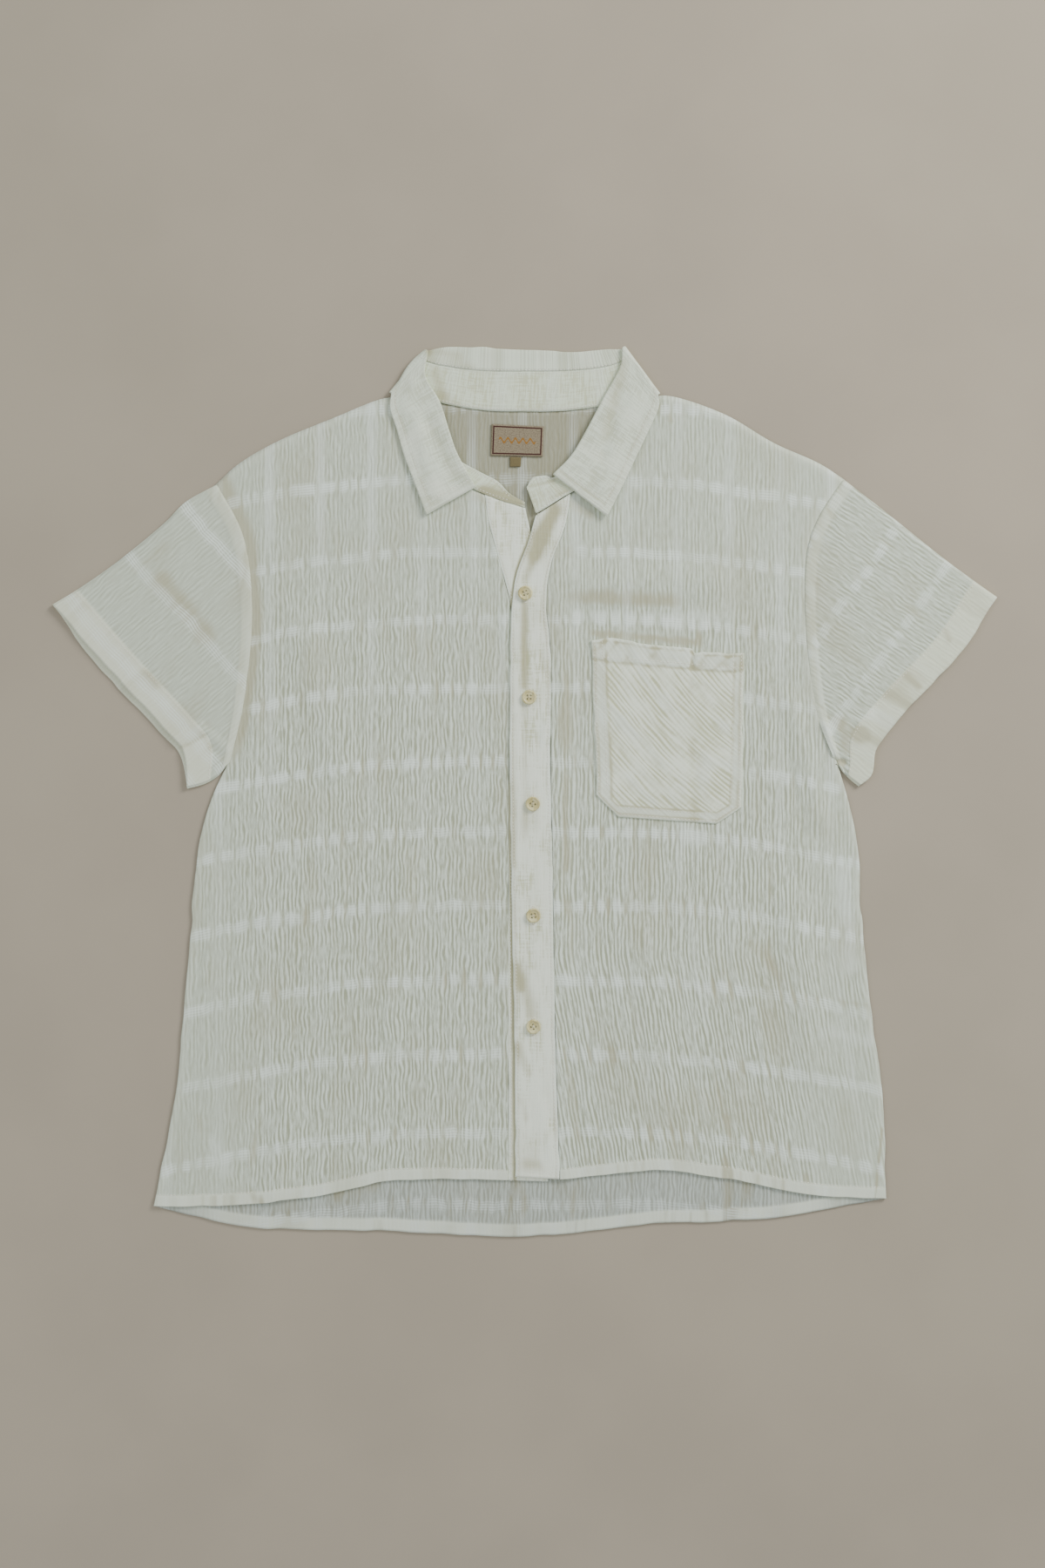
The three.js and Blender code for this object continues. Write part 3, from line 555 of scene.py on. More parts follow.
    def finish(self, colour: bpy.types.NodeSocket, height: object, depth: float, roughness: float,
               sheen: float = 0.0, specular: float = 0.25) -> bpy.types.Material:
        """Closes the graph with a shader.

        Args:
            colour: Base colour.
            height: Fine relief, from 0 to 1.
            depth: Depth of that relief in millimetres.
            roughness: How matt the surface is.
            sheen: Soft light of loose fibres.
            specular: Strength of the plain reflection.

        Returns:
            The material.
        """
        bump = self.node("ShaderNodeBump", Strength=1.0, Distance=depth * MM, Height=height)
        shader = self.node("ShaderNodeBsdfPrincipled", Base_Color=colour, Roughness=roughness,
                           Normal=bump.outputs[0], Sheen_Weight=sheen, Sheen_Roughness=0.6)
        shader.inputs["Specular IOR Level"].default_value = specular
        self.node("ShaderNodeOutputMaterial", Surface=shader.outputs[0])
        return self.material


@dataclass(frozen=True)
class Gauze:
    """Crinkled cotton gauze with groups of fine ribs across it and fainter ones along it."""

    name: str
    # The ridge and trough colours paint the crinkle's light on its ridges and its shade in its troughs.
    ridge: Colour = paint(232, 241, 224)
    trough: Colour = paint(172, 177, 150)
    # The rib colour also paints the light on the ridges of folds.
    rib: Colour = paint(245, 254, 243)
    turned: Colour = paint(240, 246, 225)
    # The warm colour paints the shade in folds, and also gives random patches of tone and the darkening
    # towards the top.
    warm: Colour = paint(184, 180, 148)
    turned_share: float = 0.72
    rib_share: float = 0.9
    length_rib_share: float = 0.32
    rib_pitch: float = 59.0
    length_rib_pitch: float = 41.0
    rib_group: float = 8.4
    rib_floor: float = 0.45
    rib_step: float = 2.1
    streak: float = 1.3
    ripple: float = 3.3
    ripple_length: float = 20.0
    swerve: float = 4.5
    lump_floor: float = 0.12
    weave: float = 0.55
    # Share of the darker, warmer colour towards the top of the cloth.
    top_darkening: float = 0.0

    def group(self, graph: Graph, along: Number, pitch: float, share: float,
              swell: object = 1.0) -> Number:
        """Groups of ribs at a pitch.

        Args:
            graph: The material's graph.
            along: Coordinate that the groups are counted on.
            pitch: Distance from group to group.
            share: The groups' width as a share of the full one.
            swell: Makes the groups wider or narrower from place to place.

        Returns:
            A number that is 1 on the ribs and 0 between the groups.
        """
        half = self.rib_group * share / 2 * MM
        turns = graph.math("FRACT", along * (1 / (pitch * MM)) + 0.5)
        away = abs(turns - 0.5) * (pitch * MM)
        window = graph.ramp(graph.math("DIVIDE", away, swell), half * 1.6, half * 0.5)
        ribs = graph.waves(away - self.rib_step / 2 * MM, self.rib_step)
        return window * graph.ramp(ribs, 0.0, 0.8, self.rib_floor, 1.0)

    def material(self) -> bpy.types.Material:
        """Builds the gauze: crinkle and folds in painted light and shade, patches and then both ways'
        groups of ribs.

        Returns:
            The material.
        """
        graph = Graph(self.name)
        across, along = graph.cloth()
        streaks = graph.ramp(graph.bumps(self.streak, 9.0, 3.0, 0.6), 0.3, 0.7)
        lines = graph.ripples(across, self.ripple, self.ripple_length, self.swerve)
        vigour = graph.field("vigour")
        lively = vigour * (streaks * 0.3 + lines * 0.7 - 0.5) + 0.5
        form = graph.field("relief") * 0.08 + lively
        # Painted shading of the crinkle: light on its ridges and shade in its troughs, which also
        # stands in for the thin cloth's darker see-through look.
        colour = graph.mix(graph.ramp(form, 0.17, 0.83), self.trough, self.ridge)
        colour = graph.mix(graph.field("turned") * self.turned_share, colour, self.turned)
        fold = graph.field("fold")
        # Painted shade in folds, and painted light on their ridges.
        colour = graph.mix(graph.ramp(fold, -0.12, -1.0, 0.0, 0.75), colour, self.warm)
        colour = graph.mix(graph.ramp(fold, 0.2, 1.0, 0.0, 0.4), colour, self.rib)
        patches = graph.ramp(graph.bumps(40.0, 90.0), 0.45, 0.8, 0.0, 0.3)
        colour = graph.mix(patches, colour, self.warm)
        # Darker and warmer towards the top of the cloth.
        colour = graph.mix(graph.ramp(along, 0.35, 0.6, 0.0, self.top_darkening), colour, self.warm)
        lumps = graph.ramp(graph.field("pucker"), -0.55, 0.5, self.lump_floor, 1.0)
        lumps = lumps * graph.ramp(form, 0.0, 0.7, 0.55, 1.0)
        irregular = graph.ramp(graph.bumps(70.0, 20.0), 0.35, 0.65, 0.6, 1.0)
        swayed = along + (graph.bumps(16.0, 40.0, 1.0) - 0.5) * (3.5 * MM)
        ribs = self.group(graph, swayed, self.rib_pitch, 1.0, lumps * 0.6 + 0.5) * lumps * irregular
        colour = graph.mix(ribs * self.rib_share, colour, self.rib)
        fade = graph.ramp(graph.bumps(30.0, 120.0, 1.0), 0.35, 0.65, 0.35, 1.0)
        fade = fade * graph.ramp(along, 0.27, 0.5, 0.4, 1.0) * graph.ramp(vigour, 0.3, 0.7, 1.7, 1.0)
        length_ribs = self.group(graph, across, self.length_rib_pitch, 0.8) * fade
        colour = graph.mix(length_ribs * self.length_rib_share, colour, self.rib)
        relief = graph.threads(across, along, self.weave) * 0.2 + (lively + ribs * 0.3)
        return graph.finish(colour, relief, 0.2, 0.93, 0.12)


@dataclass(frozen=True)
class Doubled:
    """Two or more layers of the gauze pressed together, denser and creamier."""

    name: str
    # The light and shade colours are the painted light and painted shade of the streaks, crinkle and
    # relief.
    light: Colour = paint(230, 240, 220)
    shade: Colour = paint(208, 214, 188)
    # The rib colour, for the stripes and turned edges, also paints the light on the ridges of folds.
    rib: Colour = paint(240, 248, 234)
    # The warm colour paints the shade in folds.
    warm: Colour = paint(184, 180, 142)
    stripe_pitch: float = 41.0
    stripe_share: float = 0.25
    streak: float = 1.5
    streak_share: float = 0.5
    ripple: float = 3.4
    ripple_length: float = 40.0
    ripple_share: float = 0.0
    swerve: float = 4.0
    weave: float = 0.55
    shade_from: float = 0.3
    light_from: float = 0.78

    def material(self) -> bpy.types.Material:
        """Builds the doubled gauze: streaks, crinkle and folds in painted light and shade, patches,
        stripes.

        Returns:
            The material.
        """
        graph = Graph(self.name)
        across, along = graph.cloth()
        streaks = graph.bumps(self.streak, 16.0, 3.0, 0.55)
        both = graph.bumps(14.0, 1.5) * 0.35 + streaks * 0.65
        lines = graph.ripples(across, self.ripple, self.ripple_length, self.swerve)
        sharp = graph.field("vigour") * self.ripple_share
        fine = graph.ramp(both, 0.4, 0.6) * (1 - self.ripple_share) + lines * sharp
        height = graph.field("relief") * 0.5 + 0.5
        form = fine * (1 - self.streak_share) + height * self.streak_share
        # Painted shading: the relief, mixed with random tone, moves the colour between the light and
        # shade copies.
        irregular = form * 0.7 + graph.bumps(22.0, 30.0, 3.0) * 0.5
        tone = graph.ramp(irregular, self.shade_from, self.light_from)
        colour = graph.mix(tone, self.shade, self.light)
        turns = graph.math("FRACT", across * (1 / (self.stripe_pitch * MM)))
        stripe = graph.ramp(abs(turns - 0.5), 0.16, 0.08) * self.stripe_share
        colour = graph.mix(stripe, colour, self.rib)
        colour = graph.mix(graph.field("turned") * 0.5, colour, self.rib)
        fold = graph.field("fold")
        # Painted shade in folds, and painted light on their ridges.
        colour = graph.mix(graph.ramp(fold, 0.0, -1.0, 0.0, 0.9), colour, self.warm)
        colour = graph.mix(graph.ramp(fold, 0.0, 1.0, 0.0, 0.6), colour, self.rib)
        relief = graph.threads(across, along, self.weave) * 0.3 + fine
        return graph.finish(colour, relief, 0.12, 0.92, 0.1)


@dataclass(frozen=True)
class Woven:
    """A small woven patch with a thin frame and a plain wave across its middle."""

    name: str
    ground: Colour
    frame: Colour
    wave: Colour
    framed: bool = True
    width: float = 42.0
    length: float = 24.5
    wave_turns: float = 44.0
    wave_height: float = 0.07

    def material(self) -> bpy.types.Material:
        """Builds the patch's cloth, with its own map from 0 to 1 across and along.

        Returns:
            The material.
        """
        graph = Graph(self.name)
        across, along = graph.cloth()
        speckle = graph.bumps(25.0, 40.0, 3.0)
        colour = graph.mix(graph.ramp(speckle, 0.3, 0.7, 0.0, 0.4), self.ground, self.frame)
        colour = graph.mix(graph.ramp(speckle, 0.2, 0.8, 0.35, 0.0), colour, self.ground)
        if self.framed:
            side, end = 0.5 - abs(across - 0.5), 0.5 - abs(along - 0.5)
            near = graph.math("MINIMUM", side * self.width, end * self.length)
            line = graph.ramp(near, 1.2, 1.4) * graph.ramp(near, 2.5, 2.3)
            colour = graph.mix(line, colour, self.frame)
            swing = graph.math("SINE", across * self.wave_turns) * self.wave_height
            stroke = graph.ramp(abs(along - 0.5 - swing), 0.045, 0.03)
            colour = graph.mix(stroke * graph.ramp(side, 0.14, 0.16), colour, self.wave)
        return graph.finish(colour, graph.bumps(9.0, 14.0, 1.0), 0.12, 0.75, 0.1)


@dataclass(frozen=True)
class Horn:
    """Pale polished horn for the buttons."""

    name: str = "button_horn"
    light: Colour = paint(232, 226, 176)
    dark: Colour = paint(196, 182, 120)

    def material(self) -> bpy.types.Material:
        """Builds the horn, with long veins.

        Returns:
            The material.
        """
        graph = Graph(self.name)
        place = graph.node("ShaderNodeTexCoord").outputs["Object"]
        turned = graph.node("ShaderNodeMapping", Vector=place, Scale=(260.0, 90.0, 200.0)).outputs[0]
        veins = graph.node("ShaderNodeTexNoise", Vector=turned, Scale=1.0, Detail=4.0,
                           Distortion=0.6).outputs[0]
        colour = graph.mix(graph.ramp(veins, 0.35, 0.7), self.dark, self.light)
        return graph.finish(colour, veins, 0.04, 0.32, specular=0.5)


@dataclass(frozen=True)
class Cotton:
    """Sewing thread, a twisted strand."""

    name: str = "sewing_thread"
    light: Colour = paint(255, 253, 240)
    dark: Colour = paint(232, 226, 204)

    def material(self) -> bpy.types.Material:
        """Builds the thread, with its fine strands.

        Returns:
            The material.
        """
        graph = Graph(self.name)
        place = graph.node("ShaderNodeTexCoord").outputs["Object"]
        strands = graph.node("ShaderNodeTexNoise", Vector=place, Scale=900.0, Detail=2.0).outputs[0]
        colour = graph.mix(graph.ramp(strands, 0.35, 0.65), self.dark, self.light)
        return graph.finish(colour, strands, 0.05, 0.7, 0.1)


@dataclass
class Creases:
    """The creases of a piece at each of its points."""

    height: np.ndarray
    fine: np.ndarray
    fold: np.ndarray
    pucker: np.ndarray
    vigour: np.ndarray

    @classmethod
    def plain(cls, height: np.ndarray, fold: np.ndarray | float = 0.0,
              span: float = 0.3) -> "Creases":
        """Creases of pressed cloth, without puckers.

        Args:
            height: Their height in millimetres.
            fold: Where soft folds lie, with painted light at 1 on a full ridge and painted shade at -1
                in a full trough.
            span: Height that counts as a full ridge.

        Returns:
            The creases.
        """
        none = np.zeros(height.shape)
        return cls(height, np.clip(height / span, -1, 1), none + np.clip(fold, -1, 1), none, none + 1)

    def eased(self, share: np.ndarray) -> "Creases":
        """The same creases, flatter where the share is below 1."""
        return Creases(self.height * share, self.fine * share, self.fold * share, self.pucker,
                       self.vigour * share)


@dataclass(frozen=True)
class Crinkle:
    """Creases that the gauze keeps, long and narrow, with puckers along its groups of ribs."""

    pitch: float = 5.0
    length: float = 30.0
    height: float = 0.13
    broken: float = 0.5
    drift: float = 2.6
    fold_width: float = 5.5
    fold_length: float = 60.0
    fold_height: float = 0.16
    pucker_pitch: float = 12.5
    pucker_height: float = 0.3
    pucker_reach: float = 9.5
    seed: int = 7

    def press(self, across: np.ndarray, along: np.ndarray, row: np.ndarray) -> Creases:
        """Presses the creases into the cloth.

        Args:
            across: Place across the cloth, in millimetres.
            along: Place along it, in millimetres.
            row: Place counted in groups of ribs, whole on the middle of one.

        Returns:
            The creases, about as far below 0 as above.
        """
        moved = across + self.drift * wander(across / 38, along / 26, self.seed)
        phase = moved / self.pitch + self.broken * (
            0.8 * wander(across / 8, along / self.length, self.seed + 5)
            + 0.4 * wander(across / 4, along / (self.length * 0.6), self.seed + 8)
        )
        strength = 0.65 + 0.45 * wander(moved / 7, along / self.length, self.seed + 1)
        fine = np.cos(2 * math.pi * phase) * strength
        fine = fine + 0.3 * wander(moved / 1.5, along / 10, self.seed + 2)
        wide = wander(moved / self.fold_width, along / self.fold_length, self.seed + 3)
        nearest = np.round(row)
        away = np.abs(row - nearest) * Gauze.rib_pitch
        near = bell(away, self.pucker_reach)
        turns = across / self.pucker_pitch + 0.9 * wander(across / 21, nearest * 7.3, self.seed + 4)
        swell = 2 * (0.5 + 0.5 * np.cos(2 * math.pi * turns)) ** 0.6 - 1
        irregular = 0.62 + 0.38 * wander(across / 26, nearest * 3.1, self.seed + 7)
        pucker = swell * irregular + 0.35 * wander(moved / 3.1, nearest * 5.7 + along / 60, self.seed + 6)
        height = (
            fine * self.height * (1 - 0.3 * near)
            + wide * self.fold_height
            + pucker * self.pucker_height * near
        )
        # Painted shade and light of the wide folds and the puckers.
        fold = np.clip(0.5 * wide * (1 - near) + 1.1 * pucker * near, -1, 1)
        return Creases(height, np.clip(fine, -1, 1), fold, np.clip(pucker, -1, 1),
                       np.ones(height.shape))


@dataclass
class Cloth:
    """One cut piece as a grid of points, rows from its lower edge up."""

    name: str
    node: str
    slot: Slot
    points: np.ndarray
    weave: np.ndarray
    creases: Creases
    turned: np.ndarray
    thickness: float = 0.5
    turned_thickness: float = 1.0
    centred: bool = False
    ring: bool = False

    def build(self, material: bpy.types.Material) -> bpy.types.Object:
        """Makes the piece from a grid whose vertices take the points' places.

        Args:
            material: The finish.

        Returns:
            The piece, riding the shirt.
        """
        rows, columns = self.points.shape[:2]
        form = bmesh.new()
        bmesh.ops.create_grid(form, x_segments=columns - 1, y_segments=rows - 1, size=0.5)
        fields = {
            "relief": self.creases.fine,
            # fold carries the painted shade and light of folds and shadows.
            "fold": self.creases.fold,
            "pucker": self.creases.pucker,
            "vigour": self.creases.vigour,
            "turned": self.turned,
        }
        layers = {name: form.verts.layers.float.new(name) for name in fields}
        cloth = form.loops.layers.uv.new("cloth")
        group = form.verts.layers.deform.new()
        cells = []
        for vert in form.verts:
            cell = (round((vert.co.y + 0.5) * (rows - 1)), round((vert.co.x + 0.5) * (columns - 1)))
            cells.append(cell)
            vert.co = Vector(self.points[cell]) * MM
            for name, values in fields.items():
                vert[layers[name]] = float(values[cell])
            vert[group][0] = float(self.turned[cell])
        form.verts.index_update()
        for face in form.faces:
            face.smooth = True
            for loop in face.loops:
                loop[cloth].uv = self.weave[cells[loop.vert.index]] * MM
        if self.ring:
            bmesh.ops.remove_doubles(form, verts=form.verts, dist=1e-7)
            bmesh.ops.recalc_face_normals(form, faces=form.faces)
        form.normal_update()
        if not self.ring and sum(face.normal.z for face in form.faces) < 0:
            bmesh.ops.reverse_faces(form, faces=form.faces)
        piece = into_scene(self.name, form, material)
        piece.vertex_groups.new(name="turned")
        wall = piece.modifiers.new("wall", "SOLIDIFY")
        wall.thickness = self.turned_thickness * MM
        wall.offset = 0.0 if self.centred else -1.0
        wall.vertex_group = "turned"
        wall.thickness_vertex_group = self.thickness / self.turned_thickness
        wall.use_even_offset = False
        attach(piece, BODY)
        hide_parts(self.node)
        LOG.info("%s: %d points", self.name, rows * columns)
        return piece

    def cut_area(self) -> float:
        """Flat area of the piece seen from above, in square metres.

        Returns:
            The area.
        """
        plan = self.points[..., :2] * MM
        first = plan[1:, 1:] - plan[:-1, :-1]
        second = plan[1:, :-1] - plan[:-1, 1:]
        return float(np.abs(first[..., 0] * second[..., 1] - first[..., 1] * second[..., 0]).sum() / 2)


def grid_lines(*marks: tuple[float, float]) -> np.ndarray:
    """Shares of a grid's lines, closer together where they have to be.

    Args:
        *marks: Where a stretch ends and how many cells it has.

    Returns:
        All lines from 0 to the last mark.
    """
    lines = [np.zeros(1)]
    start = 0.0
    for end, cells in marks:
        lines.append(np.linspace(start, end, int(cells) + 1)[1:])
        start = end
    return np.concatenate(lines)


class Surface:
    """The finished surface of a piece of cloth, on which stitches lie."""

    def __init__(self, piece: bpy.types.Object) -> None:
        """Takes the surface of a piece as it is after its modifiers."""
        bpy.context.view_layer.update()
        self.tree = BVHTree.FromObject(piece, bpy.context.evaluated_depsgraph_get())

    def under(self, x: float, y: float) -> tuple:
        """The highest place at X and Y in millimetres, with the way the surface faces there."""
        return self.tree.ray_cast(Vector((x * MM, y * MM, 0.05)), Vector((0, 0, -1)))[:2]


@dataclass(frozen=True)
class Thread:
    """A row of machine stitches."""

    pitch: float = 2.8
    length: float = 2.0
    width: float = 0.65
    height: float = 0.42

    def stitch(self, form: bmesh.types.BMesh, place: Vector, way: Vector, up: Vector,
               length: float | None = None) -> None:
        """Adds one stitch.

        Args:
            form: The mesh that takes it.
            place: Its middle, in metres.
            way: The way it runs.
            up: Away from the cloth.
            length: Its length in millimetres, where it isn't the usual one.
        """
        side = up.cross(way).normalized()
        run = side.cross(up).normalized()
        turn = Matrix((run, side, up)).transposed().to_4x4()
        sizes = ((length or self.length) / 2, self.width / 2, self.height / 2)
        scale = Matrix.Diagonal((*[size * MM for size in sizes], 1.0))
        bmesh.ops.create_icosphere(form, subdivisions=1, radius=1.0,
                                   matrix=Matrix.Translation(place) @ turn @ scale)

    def sew(self, name: str, paths: Sequence[np.ndarray], on: bpy.types.Object, slot: Slot,
            material: bpy.types.Material) -> bpy.types.Object:
        """Sews along paths, each stitch lying on the cloth under it.

        Args:
            name: The row's name.
            paths: Points of each path in millimetres.
            on: The cloth.
            slot: The record's slot.
            material: The thread's finish.

        Returns:
            The stitches as one object.
        """
        cloth = Surface(on)
        form = bmesh.new()
        for path in paths:
            points = even_points(path, max(int(line_length(path) / self.pitch), 1) + 1)
            for point, way in zip(points, np.gradient(points, axis=0)):
                place, up = cloth.under(*point[:2])
                if place is not None:
                    self.stitch(form, place, Vector((*way, 0.0)[:3]), up)
        return self.close(name, form, slot, material)

    def close(self, name: str, form: bmesh.types.BMesh, slot: Slot,
              material: bpy.types.Material) -> bpy.types.Object:
        """Turns a mesh of stitches into a piece that rides the shirt.

        Args:
            name: The piece's name.
            form: The stitches.
            slot: The record's slot; not used.
            material: The thread's finish.

        Returns:
            The piece.
        """
        for face in form.faces:
            face.smooth = True
        piece = into_scene(name, form, material)
        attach(piece, BODY)
        LOG.info("%s: %d faces", name, len(piece.data.polygons))
        return piece


@dataclass(frozen=True)
class Fold:
    """A soft fold: a ridge, or a trough where its height is below 0."""

    at: str
    start: tuple
    end: tuple
    spread: float
    height: float

    def at_places(self, x: np.ndarray, y: np.ndarray) -> np.ndarray:
        """Height that the fold adds at each place."""
        return self.height * (1 - smoothstep(off_line(x, y, self.start, self.end), 0, self.spread))


def pressed(folds: Sequence[Fold], x: np.ndarray, y: np.ndarray) -> np.ndarray:
    """Height that folds add together at each place."""
    return sum((fold.at_places(x, y) for fold in folds), np.zeros(x.shape))


@dataclass(frozen=True)
class Layers:
    """Heights of the cloth's upper side, layer by layer."""

    back: float = 1.0
    front: float = 2.3
    band: float = 2.5
    placket: float = 4.0
    pocket: float = 3.6
    label: float = 2.3
    button: float = 4.3
    hem_raise: float = 0.45


LAYERS = Layers()


@dataclass(frozen=True)
class Opening:
    """The button band and the placket over it."""

    band: tuple = (
        ("hem", -13.2, -312, 19, -313),
        ("skirt", -13.2, -190, 18.5, -190),
        ("waist", -13.2, -29, 18, -29),
        ("chest", -11.2, 76, 17.5, 76),
        ("first button", -11, 146, 15, 150),
        ("opening", -17, 172, 9.5, 188),
        ("below neck", -29.3, 218, 3, 216),
        ("neck", -32.2, 238.5, 0.5, 227.5),
    )
    placket: tuple = (
        ("hem", -7.5, -309, 28.2, -311),
        ("skirt", -8, -208, 24.8, -208),
        ("waist", -10, -109.5, 23.2, -109.5),
        ("belly", -12, 23, 20.8, 23),
        ("chest", -11.8, 100, 20.7, 112),
        ("first button", -9.8, 155, 17.2, 155),
        ("turn", -6, 177, 22, 186),
        ("opening", 3, 201, 31.5, 210),
        ("neck", 8.5, 221, 37, 239),
    )
    creases: tuple = (
        Fold("below the first button", (-0.6, 152), (-0.2, 84), 5.5, -0.42),
        Fold("folded facing", (12, 200), (0, 168), 6.5, -0.35),
        Fold("shade of the facing", (24, 228), (9, 192), 13.0, -0.4),
        Fold("inner line", (-0.5, 70), (0.5, -92), 5.5, -0.22),
        Fold("lower inner line", (0.5, -104), (2.5, -180), 6.0, -0.16),
        Fold("by the hem", (12, -250), (20, -300), 8.0, 0.25),
    )
    # Painted shade on the placket where a height is below 0, painted light where it is above 0.
    painted_shading: tuple = (
        Fold("above the last button", (-3, -152), (6, -180), 9.0, -0.35),
        Fold("below the last button", (-5, -204), (3, -226), 8.0, -0.7),
        Fold("upper left edge", (-5, -140), (-3, -158), 5.0, -0.6),
        Fold("hem", (2, -299), (18, -301), 9.0, -0.4),
        Fold("below the neck", (24, 224), (13, 205), 11.0, -0.75),
        Fold("lower left edge", (-2, -246), (1, -262), 6.0, -0.4),
        Fold("right of the chest", (12, 112), (15, 98), 6.0, -0.35),
        Fold("right of the second button", (13, 66), (14, 40), 6.0, 0.6),
        Fold("left edge", (-8, 60), (-9, -60), 4.5, -0.3),
    )
    stitch_inset: float = 2.4
    shade_beside: float = 0.6
    columns: int = 28
    rows: int = 200

    def edge(self, table: tuple, side: Half, gap: float = 0.0) -> tuple:
        """One edge of a strip as rows of places.

        Args:
            table: The band or the placket.
            side: Which edge.
            gap: How far it is moved in X.

        Returns:
            The rows.
        """
        first = 1 if side is Half.RIGHT else 3
        return tuple((row[0], row[first] + gap, row[first + 1]) for row in table)

    def strip(self, name: str, table: tuple, top: float, creases: tuple, seed: int) -> Cloth:
        """Lays out a strip between its two edges.

        Args:
            name: The CAD node that it replaces.
            table: The strip's edges.
            top: Height of its upper side.
            creases: Listed folds.
            seed: Picks its small creases.

        Returns:
            The strip's cloth.
        """
        across = grid_lines((0.04, 2), (0.96, self.columns - 4), (1.0, 2))
        up = grid_lines((0.012, 4), (1.0, self.rows))
        u, v = np.meshgrid(across, up)
        right = on_line(smooth_line(self.edge(table, Half.RIGHT)), v)
        left = on_line(smooth_line(self.edge(table, Half.LEFT)), v)
        plan = right * (1 - u[..., None]) + left * u[..., None]
        x, y = plan[..., 0], plan[..., 1]
        width = np.linalg.norm(left - right, axis=-1)
        edge = np.minimum(u, 1 - u) * width
        plan[..., 0] += 0.35 * wander(y / 13, u * 0, seed) * np.abs(2 * u - 1)
        small = 0.12 * wander(x / 2.6, y / 22, seed + 1) + 0.12 * wander(x / 9, y / 16, seed + 2)
        groove = -0.14 * bell(edge - self.stitch_inset, 0.8)
        pinch = 0.1 * bell(edge - self.stitch_inset, 2.5) * wander(y / 3.4, u, seed + 3)
        z = top + small + groove + pinch - 0.35 * (1 - smoothstep(edge, 0, 1.0))
        folds = pressed(creases, x, y)
        z = z + folds
        shade = small * 1.4 + pinch + 0.5 * (z - top - small)
        turned = 1 - smoothstep(edge, self.stitch_inset - 0.4, self.stitch_inset + 1.2)
        # Painted shade and light of the folds, and painted shade in the stitch grooves.
        colour = folds * 1.5 + groove * 3
        if table is self.band:
            rows = np.array([row[1:3] for row in self.placket])
            away = x - np.interp(y, rows[:, 1], rows[:, 0])
            colour = colour - 1.3 * bell(away + self.shade_beside, 1.3)
        else:
            # Painted shade and light on the placket, with a random tone.
            colour = colour + pressed(self.painted_shading, x, y) + 0.35 * wander(x / 9, y / 24, seed + 4)
        return Cloth(name=f"{name}_cloth", node=name, slot=Slot.DOUBLED,
                     points=np.dstack([plan, z]), weave=np.dstack([x, y]),
                     creases=Creases.plain(shade, colour), turned=turned,
                     thickness=0.9, turned_thickness=1.1)

    def seams(self, cloth: Cloth, inset: float) -> list[np.ndarray]:
        """Stitch paths along both edges of a strip, at an inset from them.

        Args:
            cloth: The strip.
            inset: Distance from the edge.

        Returns:
            One path for each edge.
        """
        paths = []
        for first, last in ((0, -1), (-1, 0)):
            edge = cloth.points[:, first]
            way = cloth.points[:, last] - edge
            paths.append(edge + way / np.linalg.norm(way, axis=1, keepdims=True) * inset)
        return paths


